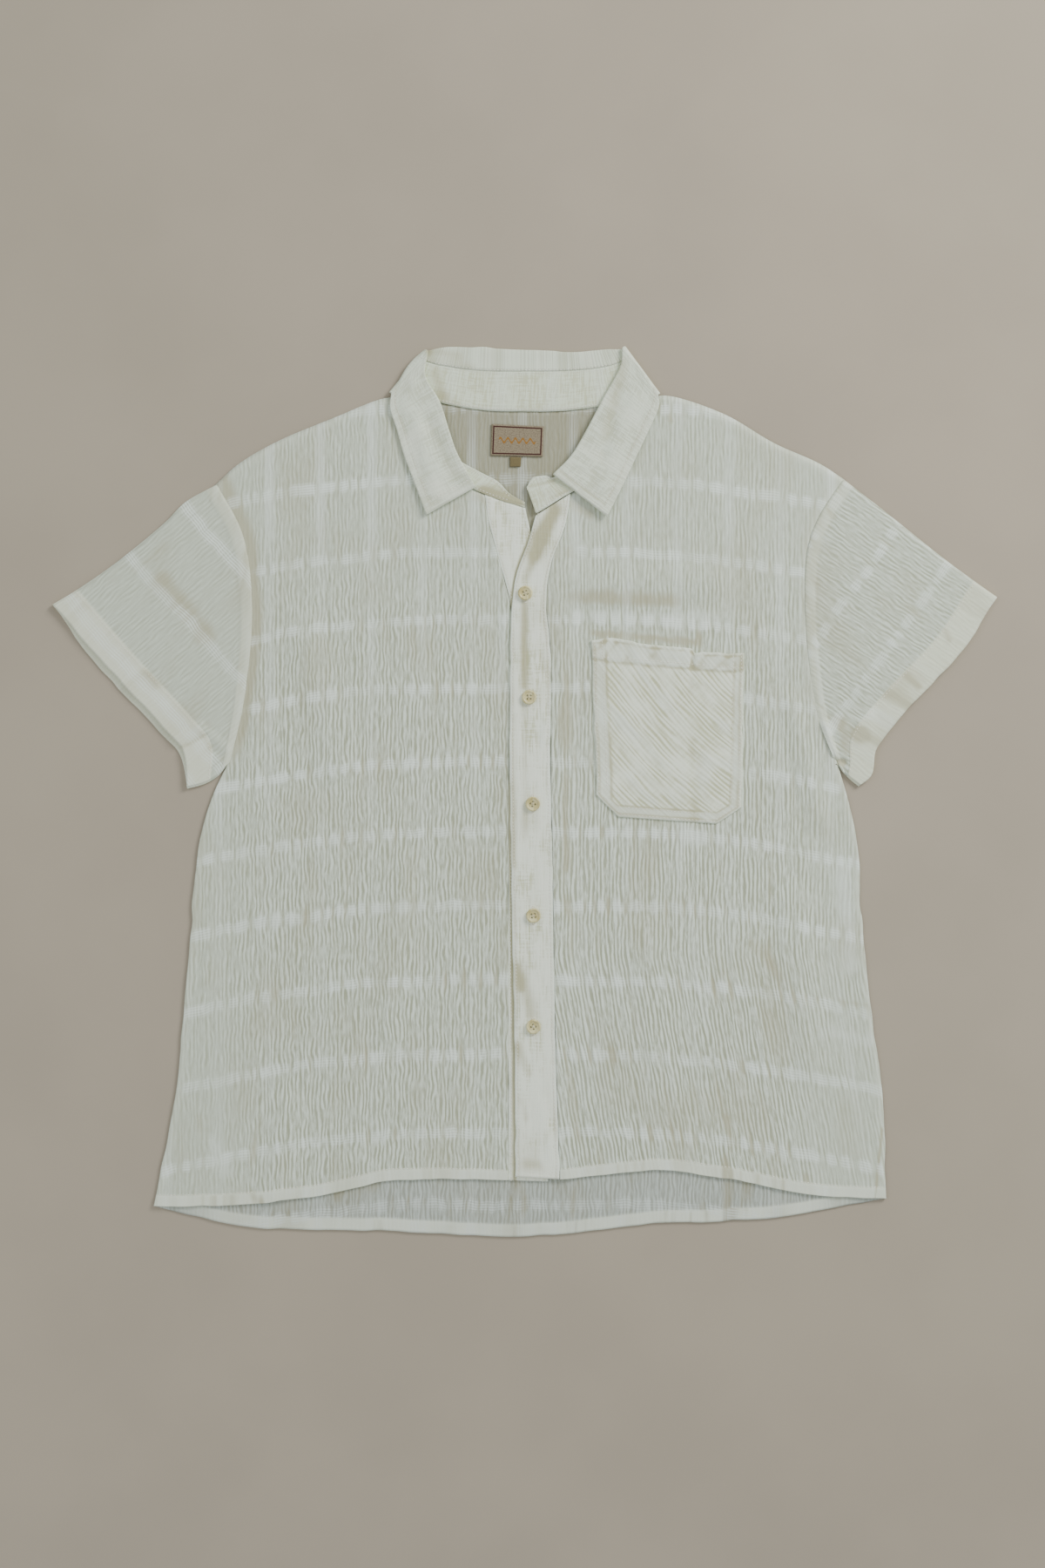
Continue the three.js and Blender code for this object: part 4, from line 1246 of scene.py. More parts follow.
@dataclass(frozen=True)
class Body:
    """The back and the two fronts."""

    right_side: tuple = (
        ("hem", -298, -333.5), ("above hem", -284.5, -267), ("hip", -275, -193.5),
        ("waist", -268, -109), ("chest", -261.5, -39.5), ("underarm", -251, -4.5),
        ("armpit", -238.5, 22),
    )
    right_armhole: tuple = (
        ("armpit", -238.5, 22), ("low", -226.5, 76), ("middle", -220.5, 150),
        ("high", -228, 206), ("shoulder tip", -248.5, 246),
    )
    right_shoulder: tuple = (
        ("shoulder tip", -248.5, 246), ("outer", -229.5, 263), ("middle", -198.5, 281),
        ("inner", -153, 300), ("under collar", -117, 314.5), ("neck corner", -100, 317.5),
    )
    left_side: tuple = (
        ("hem", 290, -327), ("above hem", 289, -270), ("hip", 285, -228.5),
        ("waist", 271, -109), ("chest", 267, -46.5), ("underarm", 260, -9),
        ("armpit", 251.5, 21.5),
    )
    left_armhole: tuple = (
        ("armpit", 251.5, 21.5), ("low", 236.5, 62), ("middle", 226.5, 144.5),
        ("high", 229, 197), ("below tip", 238.5, 222), ("shoulder tip", 257, 250),
    )
    left_shoulder: tuple = (
        ("shoulder tip", 257, 250), ("outer", 237, 263), ("middle", 200.5, 279.5),
        ("inner", 160, 303), ("under collar", 116, 317.5), ("neck corner", 102, 317),
    )
    back_neck: tuple = (
        ("right corner", -100, 317.5), ("right", -67.5, 312), ("middle", 1, 305.5),
        ("left", 59.5, 309), ("left corner", 102, 317),
    )
    right_neck: tuple = (
        ("corner", -100, 317.5), ("side", -94, 294.5), ("front", -68, 259.5),
        ("band", -32.5, 238.5),
    )
    left_neck: tuple = (
        ("corner", 102, 317), ("side", 96, 296.5), ("front", 68, 260),
        ("placket", 37.3, 239),
    )
    back_hem: tuple = (
        ("right corner", -298, -333.5), ("right", -220, -349.5), ("right of middle", -100, -353),
        ("middle", -2, -357.5), ("left of middle", 100, -347.5), ("left", 190, -343),
        ("left corner", 290, -327),
    )
    right_hem: tuple = (
        ("corner", -298, -333.5), ("side", -240, -332), ("curve", -167, -325),
        ("rise", -105, -312), ("band", -13.5, -312),
    )
    left_hem: tuple = (
        ("corner", 290, -327), ("side", 235, -324), ("curve", 180, -314),
        ("rise", 112, -304.5), ("placket", 28.5, -311),
    )
    folds: tuple = (
        Fold("right hem crease", (-189, -255), (-200, -322), 20, 1.6),
        Fold("across left chest", (48, 166), (150, 168), 22, 1.5),
        Fold("left underarm", (216, 70), (236, -20), 17, 1.7),
        Fold("right chest", (-178, 130), (-150, 20), 24, 1.4),
        Fold("right waist", (-96, -60), (-110, -190), 22, 1.3),
        Fold("left waist", (214, -90), (232, -220), 24, 1.5),
        Fold("left skirt", (96, -120), (110, -250), 24, 1.2),
    )
    # Heights below 0 paint shade into the colour and heights above 0 paint light.
    shadows: tuple = (
        Fold("above the left chest's ribs", (40, 156), (118, 152), 15, -1.0),
        Fold("above the pocket", (56, 127), (134, 120), 6, -1.2),
        Fold("pale cloth above the pocket", (46, 142), (150, 139), 13, 0.9),
        Fold("under the right leaf's corner", (-42, 242), (-26, 228), 9, -0.8),
        Fold("beside the right leaf", (-72, 219), (-42, 234), 6, -0.4),
        Fold("under the left leaf's corner", (38, 230), (52, 222), 9, -0.8),
        Fold("beside the left corner", (108, 312), (118, 296), 5, -0.7),
        Fold("beside the left leaf", (100, 284), (80, 238), 5, -0.35),
        Fold("beside the pocket's notch", (138, 118), (141, 127), 6, -0.8),
        Fold("beside the placket", (32, 96), (34, -60), 12, -0.35),
        Fold("right front beside the band", (-22, 60), (-20, -120), 10, -0.25),
        Fold("right chest", (-120, 130), (-60, 118), 26, -0.2),
        Fold("left skirt", (163, -262), (163.5, -310), 7, -0.8),
        Fold("left hem", (225, -310), (229, -324), 8, -0.6),
        Fold("left side's fold", (183, -122), (222, -166), 10, -0.4),
        Fold("under the left side's ribs", (200, -164), (276, -172), 6, -0.5),
        Fold("pale cloth below it", (240, -192), (276, -200), 14, 0.7),
        Fold("pale left side", (256, -60), (262, -140), 14, 0.9),
        Fold("right side", (-262, -70), (-266, -130), 12, -0.35),
        Fold("upper right chest", (-170, 205), (-112, 196), 28, -0.35),
        Fold("upper left chest", (74, 205), (134, 198), 24, -0.3),
        Fold("pale cloth beside the band", (-22, 140), (-20, 82), 9, 0.75),
        Fold("side seam by the left hem", (287, -270), (281, -329), 1.9, -1.3),
        Fold("right corner's facet", (-252, -280), (-240, -305), 14, 0.8),
        Fold("beside the facet", (-262, -262), (-256, -300), 8, -0.5),
        Fold("right skirt", (-210, -262), (-226, -312), 9, -0.45),
        Fold("right hem", (-222, -322), (-212, -330), 9, -0.7),
    )
    back_shadows: tuple = (
        Fold("left skirt", (164, -314), (163.5, -352), 7, -0.8),
        Fold("beside it", (178, -312), (172, -338), 12, -0.4),
        Fold("under the placket", (-6, -312), (-2, -334), 9, -0.8),
        Fold("right of it", (-126, -316), (-150, -322), 16, -0.5),
        Fold("left of middle", (40, -316), (36, -340), 8, -0.5),
    )
    rib_rows: tuple = (
        -392, -333, -274, -211, -151.6, -92, -32.6, 23.5, 83, 137.6, 191.5, 249.6, 308, 366,
    )
    side_fade: float = 0.12
    lean: float = 0.17
    edge_wander: float = 0.8
    placket_slope: float = 24.0
    hem_turn: float = 8.0
    hem_row: int = 9
    length: float = 590.0
    front_width: float = 285.0
    columns: int = 232
    rows: int = 150
    back_columns: int = 236
    back_rows: int = 118

    def rib_row(self, x: np.ndarray, y: np.ndarray) -> np.ndarray:
        """Counts places in groups of ribs, whole on a group's middle, which sag at the sides.

        Args:
            x: Places in X.
            y: Places in Y.

        Returns:
            Whole numbers on the middle of a group.
        """
        sag = 24 * np.clip((np.abs(x) - 80) / 180, 0, None) ** 1.6
        sway = 1.2 * wander(x / 45, y / 80, 31)
        return np.interp(y + sag + sway, self.rib_rows, np.arange(len(self.rib_rows)))

    def vigour(self, x: np.ndarray, y: np.ndarray) -> np.ndarray:
        """How much of the crinkle shows: less on the shoulders and along the sides.

        Args:
            x: Places in X.
            y: Places in Y.

        Returns:
            A share of the full crinkle.
        """
        low = 1 - smoothstep(y, 40, 230)
        middle = 1 - smoothstep(np.abs(x), 188, 255)
        skirt = 1 - smoothstep(y, -120, 60)
        corner = smoothstep(np.abs(x), 195, 235) * (1 - smoothstep(y, -250, -170))
        lively = (0.45 + 0.5 * low) * (0.42 + 0.58 * middle) * (1 + 0.25 * skirt * (x > 0))
        return lively * (1 - 0.3 * corner)

    def edges(self, half: Half) -> tuple:
        """The side seam, the armhole and the shoulder of one half.

        Args:
            half: The wearer's right or left.

        Returns:
            Their tables.
        """
        if half is Half.RIGHT:
            return self.right_side, self.right_armhole, self.right_shoulder
        return self.left_side, self.left_armhole, self.left_shoulder

    def side_edge(self, half: Half) -> Edge:
        """The panel's edge from the hem to the tip of the shoulder."""
        side, armhole, _ = self.edges(half)
        return Edge(((smooth_line(side), 12), (smooth_line(armhole), 9)))

    def irregular(self, place: np.ndarray, side: np.ndarray, up: np.ndarray) -> np.ndarray:
        """Lets the side seam and the hem wander a little, as pressed cloth does.

        Args:
            place: X and Y of the panel's places.
            side: Share of a front's width from the side seam.
            up: Share of the panel's height from the hem.

        Returns:
            The moved places.
        """
        x, y = place[..., 0].copy(), place[..., 1].copy()
        by_side = (1 - smoothstep(side, 0, 0.05)) * (1 - smoothstep(up, 0.5, 0.56))
        by_hem = 1 - smoothstep(up, 0, 0.05)
        place[..., 0] += self.edge_wander * wander(y / 15, y * 0, 13) * by_side
        place[..., 1] += self.edge_wander * wander(x / 13, x * 0, 15) * by_hem
        return place

    def hem_shade(self, x: np.ndarray, hemmed: np.ndarray) -> np.ndarray:
        """Uneven colour of a turned hem, with short pleats across it.

        Args:
            x: Places in X.
            hemmed: 1 on the hem.

        Returns:
            What it adds to the folds' colour.
        """
        pleats = 0.45 * wander(x / 3.4, x * 0, 27)
        patches = 0.5 * wander(x / 15, x * 0, 28) + 0.15
        return (pleats + patches) * hemmed

    def front(self, half: Half, opening: Opening) -> Cloth:
        """Lays out one front, from its side seam to the opening.

        Args:
            half: The wearer's right or left.
            opening: The strips that it is sewn to.

        Returns:
            The front's cloth.
        """
        right = half is Half.RIGHT
        shoulder = self.edges(half)[2]
        neck, hem = (self.right_neck, self.right_hem) if right else (self.left_neck, self.left_hem)
        table, side = (opening.band, Half.RIGHT) if right else (opening.placket, Half.LEFT)
        rows = opening.edge(table, side, -0.1 if right else 0.1)
        top = Edge(((smooth_line(shoulder), 10), (smooth_line(neck), 6)))
        plan = Plan(line_edge(hem), top, self.side_edge(half), line_edge(rows))
        turn = self.hem_turn / self.length
        across = grid_lines((0.012, 4), (1.0, self.columns))
        up = grid_lines((turn * 0.15, 2), (turn * 0.85, 5), (turn * 1.3, 4), (1.0, self.rows))
        u, v = np.meshgrid(across, up)
        place = self.irregular(plan.at(u, v), u, v)
        x, y = place[..., 0], place[..., 1]
        row = self.rib_row(x, y)
        hemmed = 1 - smoothstep(v, turn * 0.9, turn * 1.15)
        lively = self.vigour(x, y) * (1 - 0.7 * hemmed)
        lean = 0 if right else self.lean * np.clip(y + 130, None, 0)
        lay = Crinkle(seed=7) if right else Crinkle(seed=29, length=46)
        creases = lay.press(x + lean, y, row).eased(lively)
        folds = pressed(self.folds, x, y) * smoothstep(u, 0, self.side_fade)
        # Painted shade on the front beside the armhole seam.
        beside = (1 - smoothstep(u * self.front_width, 5, 22)) * smoothstep(v, 0.54, 0.62)
        shadows = pressed(self.shadows, x, y) - (1.0 if right else 0.35) * beside
        shadows = shadows + self.hem_shade(x, hemmed)
        # The folds' ridges paint light into the colour.
        creases.fold = np.clip(creases.fold + 0.12 * folds + shadows, -1, 1)
        rise = 0.0
        if not right:
            away = np.abs(x - rows[2][1])
            rise = (LAYERS.placket - 0.2 - LAYERS.front) * (1 - smoothstep(away, 0, self.placket_slope))
        seam = np.minimum(u * self.front_width, (1 - v) * self.length)
        ripple = 0.24 * hemmed * wander(x / 4.5, y / 40, 5)
        z = LAYERS.front + folds + rise + creases.height + ripple + LAYERS.hem_raise * hemmed
        z = z - 0.5 * (1 - smoothstep(seam, 0, 3.0))
        edge = 1 - smoothstep(seam, 1.5, 9.0)
        return Cloth(name=f"front_{half.word}_cloth", node=f"front_{half.word}",
                     slot=Slot.GAUZE, points=np.dstack([place, z]),
                     weave=np.dstack([x + lean, row * Gauze.rib_pitch]), creases=creases,
                     turned=np.clip(hemmed + 0.35 * edge, 0, 1))

    def back(self) -> Cloth:
        """Lays out the back, from the right side seam to the left one.

        Returns:
            The back's cloth.
        """
        plan = Plan(
            line_edge(self.back_hem),
            Edge((
                (smooth_line(self.right_shoulder), 6),
                (smooth_line(self.back_neck), 8),
                (smooth_line(tuple(reversed(self.left_shoulder))), 6),
            )),
            self.side_edge(Half.RIGHT),
            self.side_edge(Half.LEFT),
        )
        turn = self.hem_turn / self.length
        across = grid_lines((1.0, self.back_columns))
        up = grid_lines((turn * 0.85, 5), (turn * 1.3, 4), (1.0, self.back_rows))
        u, v = np.meshgrid(across, up)
        place = self.irregular(plan.at(u, v), np.minimum(u, 1 - u) * 2, v)
        x, y = place[..., 0], place[..., 1]
        row = self.rib_row(x, y - 1)
        hemmed = 1 - smoothstep(v, turn * 0.9, turn * 1.15)
        corner = smoothstep(np.minimum(u, 1 - u), 0.02, 0.12)
        lay = Crinkle(pitch=7.5, height=0.14, fold_height=0.1, pucker_height=0.1, seed=53)
        creases = lay.press(x, y, row).eased(1 - 0.7 * hemmed)
        shadows = pressed(self.back_shadows, x, y) + self.hem_shade(x + 40, hemmed * corner)
        creases.fold = np.clip(creases.fold + shadows, -1, 1)
        z = LAYERS.back - 0.1 + creases.height + LAYERS.hem_raise * hemmed * corner
        return Cloth(name="back_cloth", node="back", slot=Slot.GAUZE, points=np.dstack([place, z]),
                     weave=np.dstack([x + 2, row * Gauze.rib_pitch]), creases=creases,
                     turned=hemmed * corner, thickness=0.45, turned_thickness=0.9)


@dataclass(frozen=True)
class Sleeve:
    """A flat tube from the armhole to its turned cuff."""

    half: Half
    armhole: tuple
    fold: tuple
    underarm: tuple
    cuff_over: tuple
    cuff_under: tuple = ()
    vigour: float = 1.0
    cuff_patches: tuple = ()
    shadows: tuple = ()
    folds: tuple = ()
    first_rib: float = 72.0
    rib_pitch: float = 59.5
    cuff_shade: float = 0.4
    edge_wander: float = 0.7
    seam_overlap: float = 1.7
    seam_drop: float = 0.85
    armhole_radius: float = 0.8
    cuff_radius: float = 1.1
    wall: float = 0.5
    cuff_turn: float = 23.0
    turn_band: float = 0.012
    turn_soft: float = 0.008
    stitch_inset: float = 1.5
    seam_ridge: float = 8.0
    over_cells: int = 150
    turn_cells: int = 6
    under_cells: int = 60
    rows: int = 70

    def rings(self) -> tuple[np.ndarray, float]:
        """Rings of the tube from the armhole to the cuff.

        Returns:
            Their shares of the length, and the share where the cuff turns.
        """
        turn = 1 - self.cuff_turn / line_length(smooth_line(self.fold))
        return grid_lines((turn - self.turn_band, self.rows), (turn + self.turn_band, 4),
                          (1.0, 12)), turn

    def cloth(self) -> Cloth:
        """Lays out the tube, its rings running over, round the underarm and back under.

        Returns:
            The sleeve's cloth.
        """
        seam = line_edge(tuple(reversed(self.armhole)))
        start, end = line_edge(self.fold), line_edge(self.underarm)
        over = Plan(seam, line_edge(self.cuff_over), start, end)
        under = Plan(seam, line_edge(self.cuff_under or self.cuff_over), start, end)
        down, turn = self.rings()
        share = np.concatenate([
            np.linspace(0, 1, self.over_cells + 1),
            np.ones(self.turn_cells - 1),
            np.linspace(1, 0, self.under_cells + 1),
            np.zeros(self.turn_cells),
        ])
        quarter = np.linspace(90, -90, self.turn_cells + 1)
        angle = np.concatenate([
            np.full(self.over_cells + 1, 90.0),
            quarter[1:-1],
            np.full(self.under_cells + 1, -90.0),
            quarter[::-1][1:],
        ])
        s, even = np.meshgrid(share, down)
        reach = np.linalg.norm(over.at(s, even * 0 + 1) - over.at(s, even * 0), axis=-1)
        band = np.minimum(self.cuff_turn / reach, 0.5)
        v = np.where(even < turn, even / turn * (1 - band), 1 - band * (1 - even) / (1 - turn))
        bend = np.radians(np.meshgrid(angle, down)[0])
        radius = self.armhole_radius + (self.cuff_radius - self.armhole_radius) * v
        width = np.linalg.norm(end.at(v) - start.at(v), axis=-1)
        inset = (radius + self.wall) / width
        held = np.clip(s, inset, 1 - inset)
        upper, lower = over.at(held, v), under.at(held, v)
        below = (bend < 0) & (s > 0) & (s < 1)
        place = np.where(below[..., None], lower, upper)
        outward = over.at(np.where(s < 0.5, 0.0, 1.0), v) - place
        outward /= np.maximum(np.linalg.norm(outward, axis=-1, keepdims=True), 1e-6)
        place = place + outward * ((radius + self.wall) * np.cos(bend))[..., None]
        lifted = np.sin(bend)
        lapped = np.clip(lifted, 0, 1) * (1 - smoothstep(v, 0, 0.05))
        place[..., 0] -= self.half.value * self.seam_overlap * lapped
        frayed = wander(s * 17, s * 0, 33) * smoothstep(v, 0.9, 1)
        place[..., 0] += self.half.value * self.edge_wander * frayed
        far = v * reach
        start_corner, end_corner = (np.array(self.cuff_over[k][1:], float) for k in (0, -2))
        run = (end_corner - start_corner) / np.linalg.norm(end_corner - start_corner)
        from_corner = place - start_corner
        across = from_corner @ run
        along = np.abs(from_corner[..., 0] * run[1] - from_corner[..., 1] * run[0])
        swayed = along - self.first_rib + 1.5 * wander(across / 40, along / 50, 3)
        row = swayed / self.rib_pitch + 1
        lay = Crinkle(seed=71 + self.half.value, height=0.2, fold_height=0.2, fold_width=11,
                      pucker_pitch=16, pucker_reach=12)
        cuffed = smoothstep(even, turn - self.turn_soft, turn + self.turn_soft)
        ridge = 1 - smoothstep(far, self.seam_ridge - 1.5, self.seam_ridge + 2)
        lively = self.vigour * (1 - 0.3 * cuffed) * (1 - 0.4 * ridge)
        creases = lay.press(across, along, row).eased(lively)
        upper_side = bend > 0
        pleats = wander(across / 4.2 + along / 6, along / 12, 77) * ridge
        broad = wander(across / 26, along / 34, 81) * (1 - cuffed)
        x, y = place[..., 0], place[..., 1]
        patches = pressed(self.cuff_patches, x, y)
        patches = (patches + self.cuff_shade * wander(across / 11, along * 0, 79)) * cuffed
        beside = bell(far - self.seam_ridge - 2, 2.5)
        hand, shade = pressed(self.folds, x, y), pressed(self.shadows, x, y)
        creases.height = creases.height + (0.14 * pleats + hand) * upper_side
        shade = shade + patches - 0.3 * beside + 0.45 * pleats + 0.6 * hand + 0.25 * broad
        creases.fold = np.clip(creases.fold + shade, -1, 1)
        creases.fine = np.clip(creases.fine + 0.6 * pleats, -1, 1)
        small, half_height = creases.height, radius + self.wall
        top = 2 * half_height + small + LAYERS.hem_raise * cuffed + 0.5 * ridge
        top = top - self.seam_drop * (1 - smoothstep(far, 0, 2.6))
        top = top - 0.3 * (1 - smoothstep(width * np.minimum(s, 1 - s), 0, 4))
        low = 0.12 * (1 + np.clip(small * 3, -1, 1)) * (np.abs(2 * s - 1) < 0.96)
        z = half_height + half_height * lifted
        z = np.where(bend <= -math.pi / 2 + 1e-6, low, z)
        z = np.where(bend >= math.pi / 2 - 1e-6, top, z)
        turned = np.clip(cuffed + 0.6 * ridge * upper_side, 0, 1)
        name = f"sleeve_{self.half.word}"
        return Cloth(name=f"{name}_cloth", node=name, slot=Slot.GAUZE,
                     points=np.dstack([place, z]),
                     weave=np.dstack([across, row * Gauze.rib_pitch]), creases=creases,
                     turned=turned, thickness=0.45, turned_thickness=0.75, ring=True)

    def cuff_seam(self, cloth: Cloth) -> np.ndarray:
        """Stitch path along the cuff's turn, on the upper layer.

        Args:
            cloth: The sleeve's cloth.

        Returns:
            The path.
        """
        rings, turn = self.rings()
        sewn = turn + (1 - turn) * self.stitch_inset / self.cuff_turn
        return cloth.points[int(np.argmin(np.abs(rings - sewn))), 2:self.over_cells - 2]


SLEEVES = (
    Sleeve(
        half=Half.RIGHT,
        armhole=Body.right_armhole,
        fold=(("shoulder tip", -248.5, 246), ("cap", -273, 232), ("upper", -289, 216),
              ("middle", -328, 184), ("lower", -358, 163), ("cuff", -379, 150)),
        underarm=(("armpit", -238.5, 22), ("curve", -246.5, 12), ("middle", -256.5, 6),
                  ("cuff", -271, 2)),
        cuff_over=(("fold", -379, 150), ("upper", -338, 103), ("lower", -290, 51.5),
                   ("turn", -275, 33), ("underarm", -271, 2)),
        cuff_under=(("fold", -379, 150), ("upper", -347, 105.5), ("lower", -294, 49),
                    ("turn", -277.5, 29.5), ("underarm", -271, 2)),
        vigour=0.22,
        folds=(Fold("step in the cuff", (-277, 34.5), (-257, 45), 3.5, -1.1),
               Fold("above the step", (-279, 42), (-260, 52), 6, 0.6),
               Fold("underarm", (-262, 52), (-240, 34), 7, 0.8)),
        shadows=(Fold("along the ribs", (-290, 170), (-255, 124), 15, -0.8),
                 Fold("inside the cuff", (-300, 92), (-268, 60), 12, -0.45),
                 Fold("underarm", (-256, 52), (-246, 22), 8, -0.4),
                 Fold("upper edge", (-312, 176), (-290, 196), 10, -0.3)),
    ),
    Sleeve(
        half=Half.LEFT,
        armhole=Body.left_armhole,
        fold=(("shoulder tip", 257, 250), ("cap", 293, 222), ("middle", 331, 191.5),
              ("lower", 350, 177), ("cuff", 379, 156)),
        underarm=(("armpit", 251.5, 21.5), ("curve", 255.5, 15.5), ("middle", 261, 10),
                  ("cuff", 268, 4)),
        cuff_over=(("fold", 379, 156), ("upper", 349.5, 111), ("lower", 308, 67),
                   ("turn", 283, 35), ("corner", 278.5, 13), ("underarm", 268, 4)),
        vigour=0.5,
        first_rib=47,
        rib_pitch=51,
        cuff_patches=(Fold("upper tan", (284, 82), (308, 70), 12, -1.1),
                      Fold("pale", (272, 68), (292, 55), 9, 1.2),
                      Fold("lower tan", (266, 50), (284, 40), 11, -0.8),
                      Fold("spot", (337, 130), (341, 122), 6, -0.6),
                      Fold("lower spot", (306, 93), (316, 84), 5, -0.6)),
        folds=(Fold("bunched underarm", (241, 52), (245, 31), 8, 1.6),
               Fold("below it", (243, 24.5), (256, 23.5), 4, -1.4),
               Fold("towards the cuff", (252, 46), (276, 62), 8, 0.7)),
        shadows=(Fold("below the bunch", (243, 24), (256, 23), 5, -0.9),
                 Fold("beside the bunch", (252, 56), (258, 30), 7, -0.5),
                 Fold("upper sleeve", (262, 190), (290, 150), 14, -0.3),
                 Fold("lower sleeve", (248, 120), (300, 84), 12, -0.3),
                 Fold("tan underarm", (250, 56), (268, 46), 13, -0.8),
                 Fold("pale ridge", (233, 124), (238, 72), 5, 1.0)),
    ),
)


@dataclass(frozen=True)
class Pocket:
    """The chest pocket, cut on the bias, with a turned top and two cut lower corners."""

    top_right: tuple = (53.5, 121)
    top_left: tuple = (176, 111.5)
    side_left: tuple = (174, -13)
    cut_left: tuple = (154, -26)
    cut_right: tuple = (75, -20.5)
    side_right: tuple = (57.5, -2.5)
    turn: float = 14.0
    turn_band: float = 0.012
    turn_soft: float = 0.008
    width: float = 120.0
    rib_pitch: float = 30.0
    stitch_insets: tuple = (2.2, 8.5)
    hem_inset: float = 2.0
    columns: int = 104
    rows: int = 110
    top_wave: tuple = (
        (53.9, 0), (61.8, 2.2), (70.9, 3.2), (78.5, 2.8), (86.1, 1.9), (92.2, 0.7), (107.4, 0.3),
        (122.6, 0), (131.7, 0.1), (134.6, -0.8), (136.4, -3.8), (138.6, -3.6), (142.3, -2.0),
        (149.9, -1.7), (157.5, -1.9), (163.6, -2.3), (169.7, -1.4), (176, -0.4),
    )
    creases: tuple = (
        Fold("notch", (134.6, 117), (133.8, 99), 3.2, -0.75),
        Fold("beside the notch", (138.5, 112), (137.5, 103), 4.0, 0.35),
        Fold("below the notch", (137, 101), (132, 78), 6.0, -0.28),
        Fold("down the middle", (134, 40), (136, -24), 7.0, -0.3),
        Fold("beside it", (144, 30), (147, -22), 8.0, 0.3),
        Fold("upper hem", (96, 112), (110, 104), 6.0, -0.25),
        Fold("upper right", (92, 104), (84, 117), 7.0, 0.3),
        Fold("lower bulge", (118, -4), (150, 22), 16.0, 0.3),
        Fold("across the middle", (80, 60), (112, 22), 10.0, 0.25),
        Fold("lower right", (92, 14), (120, -14), 8.0, -0.2),
    )

    def straight(self, *corners: tuple, cells: tuple = (1,)) -> Edge:
        """An edge in straight stretches from corner to corner, each with its share of cells."""
        lines = [np.linspace(start, end, LINE_POINTS) for start, end in zip(corners, corners[1:])]
        return Edge(tuple(zip(lines, cells)))

    def cloth(self) -> Cloth:
        """Lays out the pocket, with its ribs and crinkle on the bias.

        Returns:
            The pocket's cloth.
        """
        lower = self.straight(self.side_right, self.cut_right, self.cut_left, self.side_left,
                              cells=(1, 6, 1))
        plan = Plan(lower, self.straight(self.top_right, self.top_left),
                    self.straight(self.side_right, self.top_right),
                    self.straight(self.side_left, self.top_left))
        height = self.top_right[1] - self.side_right[1]
        turn = 1 - self.turn / height
        across = grid_lines((0.016, 2), (0.984, self.columns), (1.0, 2))
        up = grid_lines((0.012, 2), (turn - self.turn_band, self.rows - 14),
                        (turn + self.turn_band, 4), (0.988, 12), (1.0, 2))
        u, v = np.meshgrid(across, up)
        place = plan.at(u, v)
        x, y = place[..., 0].copy(), place[..., 1].copy()
        wave = np.interp(x, *zip(*self.top_wave)) + 0.4 * wander(x / 5, y * 0, 17)
        place[..., 1] += wave * smoothstep(v, turn - 0.04, 1)
        place[..., 0] += 0.5 * wander(y / 10, x * 0, 19) * np.abs(2 * u - 1)
        along = (x - y) / math.sqrt(2)
        over = (x + y) / math.sqrt(2)
        row = along / self.rib_pitch
        bend = over + 5.0 * np.sin(along / 40.0)
        lay = Crinkle(pitch=5.6, length=60.0, height=0.1, broken=0.4, fold_height=0.12,
                      pucker_height=0.12, drift=1.6, seed=91)
        hemmed = smoothstep(v, turn - self.turn_soft, turn + self.turn_soft)
        edge = np.minimum(np.minimum(u, 1 - u) * self.width, np.minimum(v, 1 - v) * height)
        sewn = np.minimum(u * self.width / 11, (1 - u) * self.width / 7)
        sewn = np.minimum(sewn, v * height / 8)
        flat = (1 - 0.5 * hemmed) * (0.45 + 0.55 * smoothstep(sewn, 0.8, 1.2))
        creases = lay.press(bend, along, row).eased(flat)
        wrinkles = wander((x - y) / 6, (x + y) / 11, 97) * hemmed
        z = LAYERS.pocket + creases.height + (LAYERS.hem_raise + 0.28 * wrinkles) * hemmed
        z = z - 0.4 * (1 - smoothstep(edge, 0, 1.2))
        folds = pressed(self.creases, x, y)
        z = z + folds
        # Painted shade along the stitch grooves, in the creases and under the turned hem, and painted
        # light on the hem's wrinkles.
        seam = bell(sewn - 1, 0.12) + bell(edge - 2.4, 1.1)
        under_hem = bell(v - turn + 0.006, 0.01)
        blobs = np.clip(wander(bend / 12, along / 26, 101) * 1.6 - 0.7, 0, 1) * (1 - hemmed)
        shade = 0.3 * creases.fold + folds * 1.3 - 0.7 * seam - 0.6 * under_hem + 0.7 * wrinkles
        shade = shade + 0.9 * blobs
        creases.fold = np.clip(shade, -1, 1)
        turned = np.clip(hemmed + 1 - smoothstep(sewn, 0.85, 1.05), 0, 1)
        return Cloth(name="pocket_cloth", node="pocket", slot=Slot.DOUBLED,
                     points=np.dstack([place, z]), weave=np.dstack([bend, along]),
                     creases=creases, turned=turned, thickness=0.5, turned_thickness=1.0)

    def seams(self) -> list[np.ndarray]:
        """Paths of the double rows of stitches round three sides and of the one under the hem.

        Returns:
            The paths.
        """
        corners = np.array([self.top_right, self.side_right, self.cut_right, self.cut_left,
                            self.side_left, self.top_left], float)
        middle = np.array([115.0, 45.0])
        paths = []
        for inset in self.stitch_insets:
            sunk = []
            for k, corner in enumerate(corners):
                way = middle - corner
                along = np.array([inset * np.sign(way[0]), 0.0])
                if 0 < k < 5:
                    along[1] = inset * 0.9
                sunk.append(corner + along)
            sunk[0][1] -= 1.0
            sunk[-1][1] -= 1.0
            for a, b in zip(sunk, sunk[1:]):
                paths.append(np.linspace(a, b, 12))
        hem_right = np.array(self.top_right) + (self.hem_inset, -self.turn + 1.4)
        hem_left = np.array(self.top_left) + (-self.hem_inset, -self.turn + 1.4)
        paths.append(np.linspace(hem_right, hem_left, 12))
        return paths


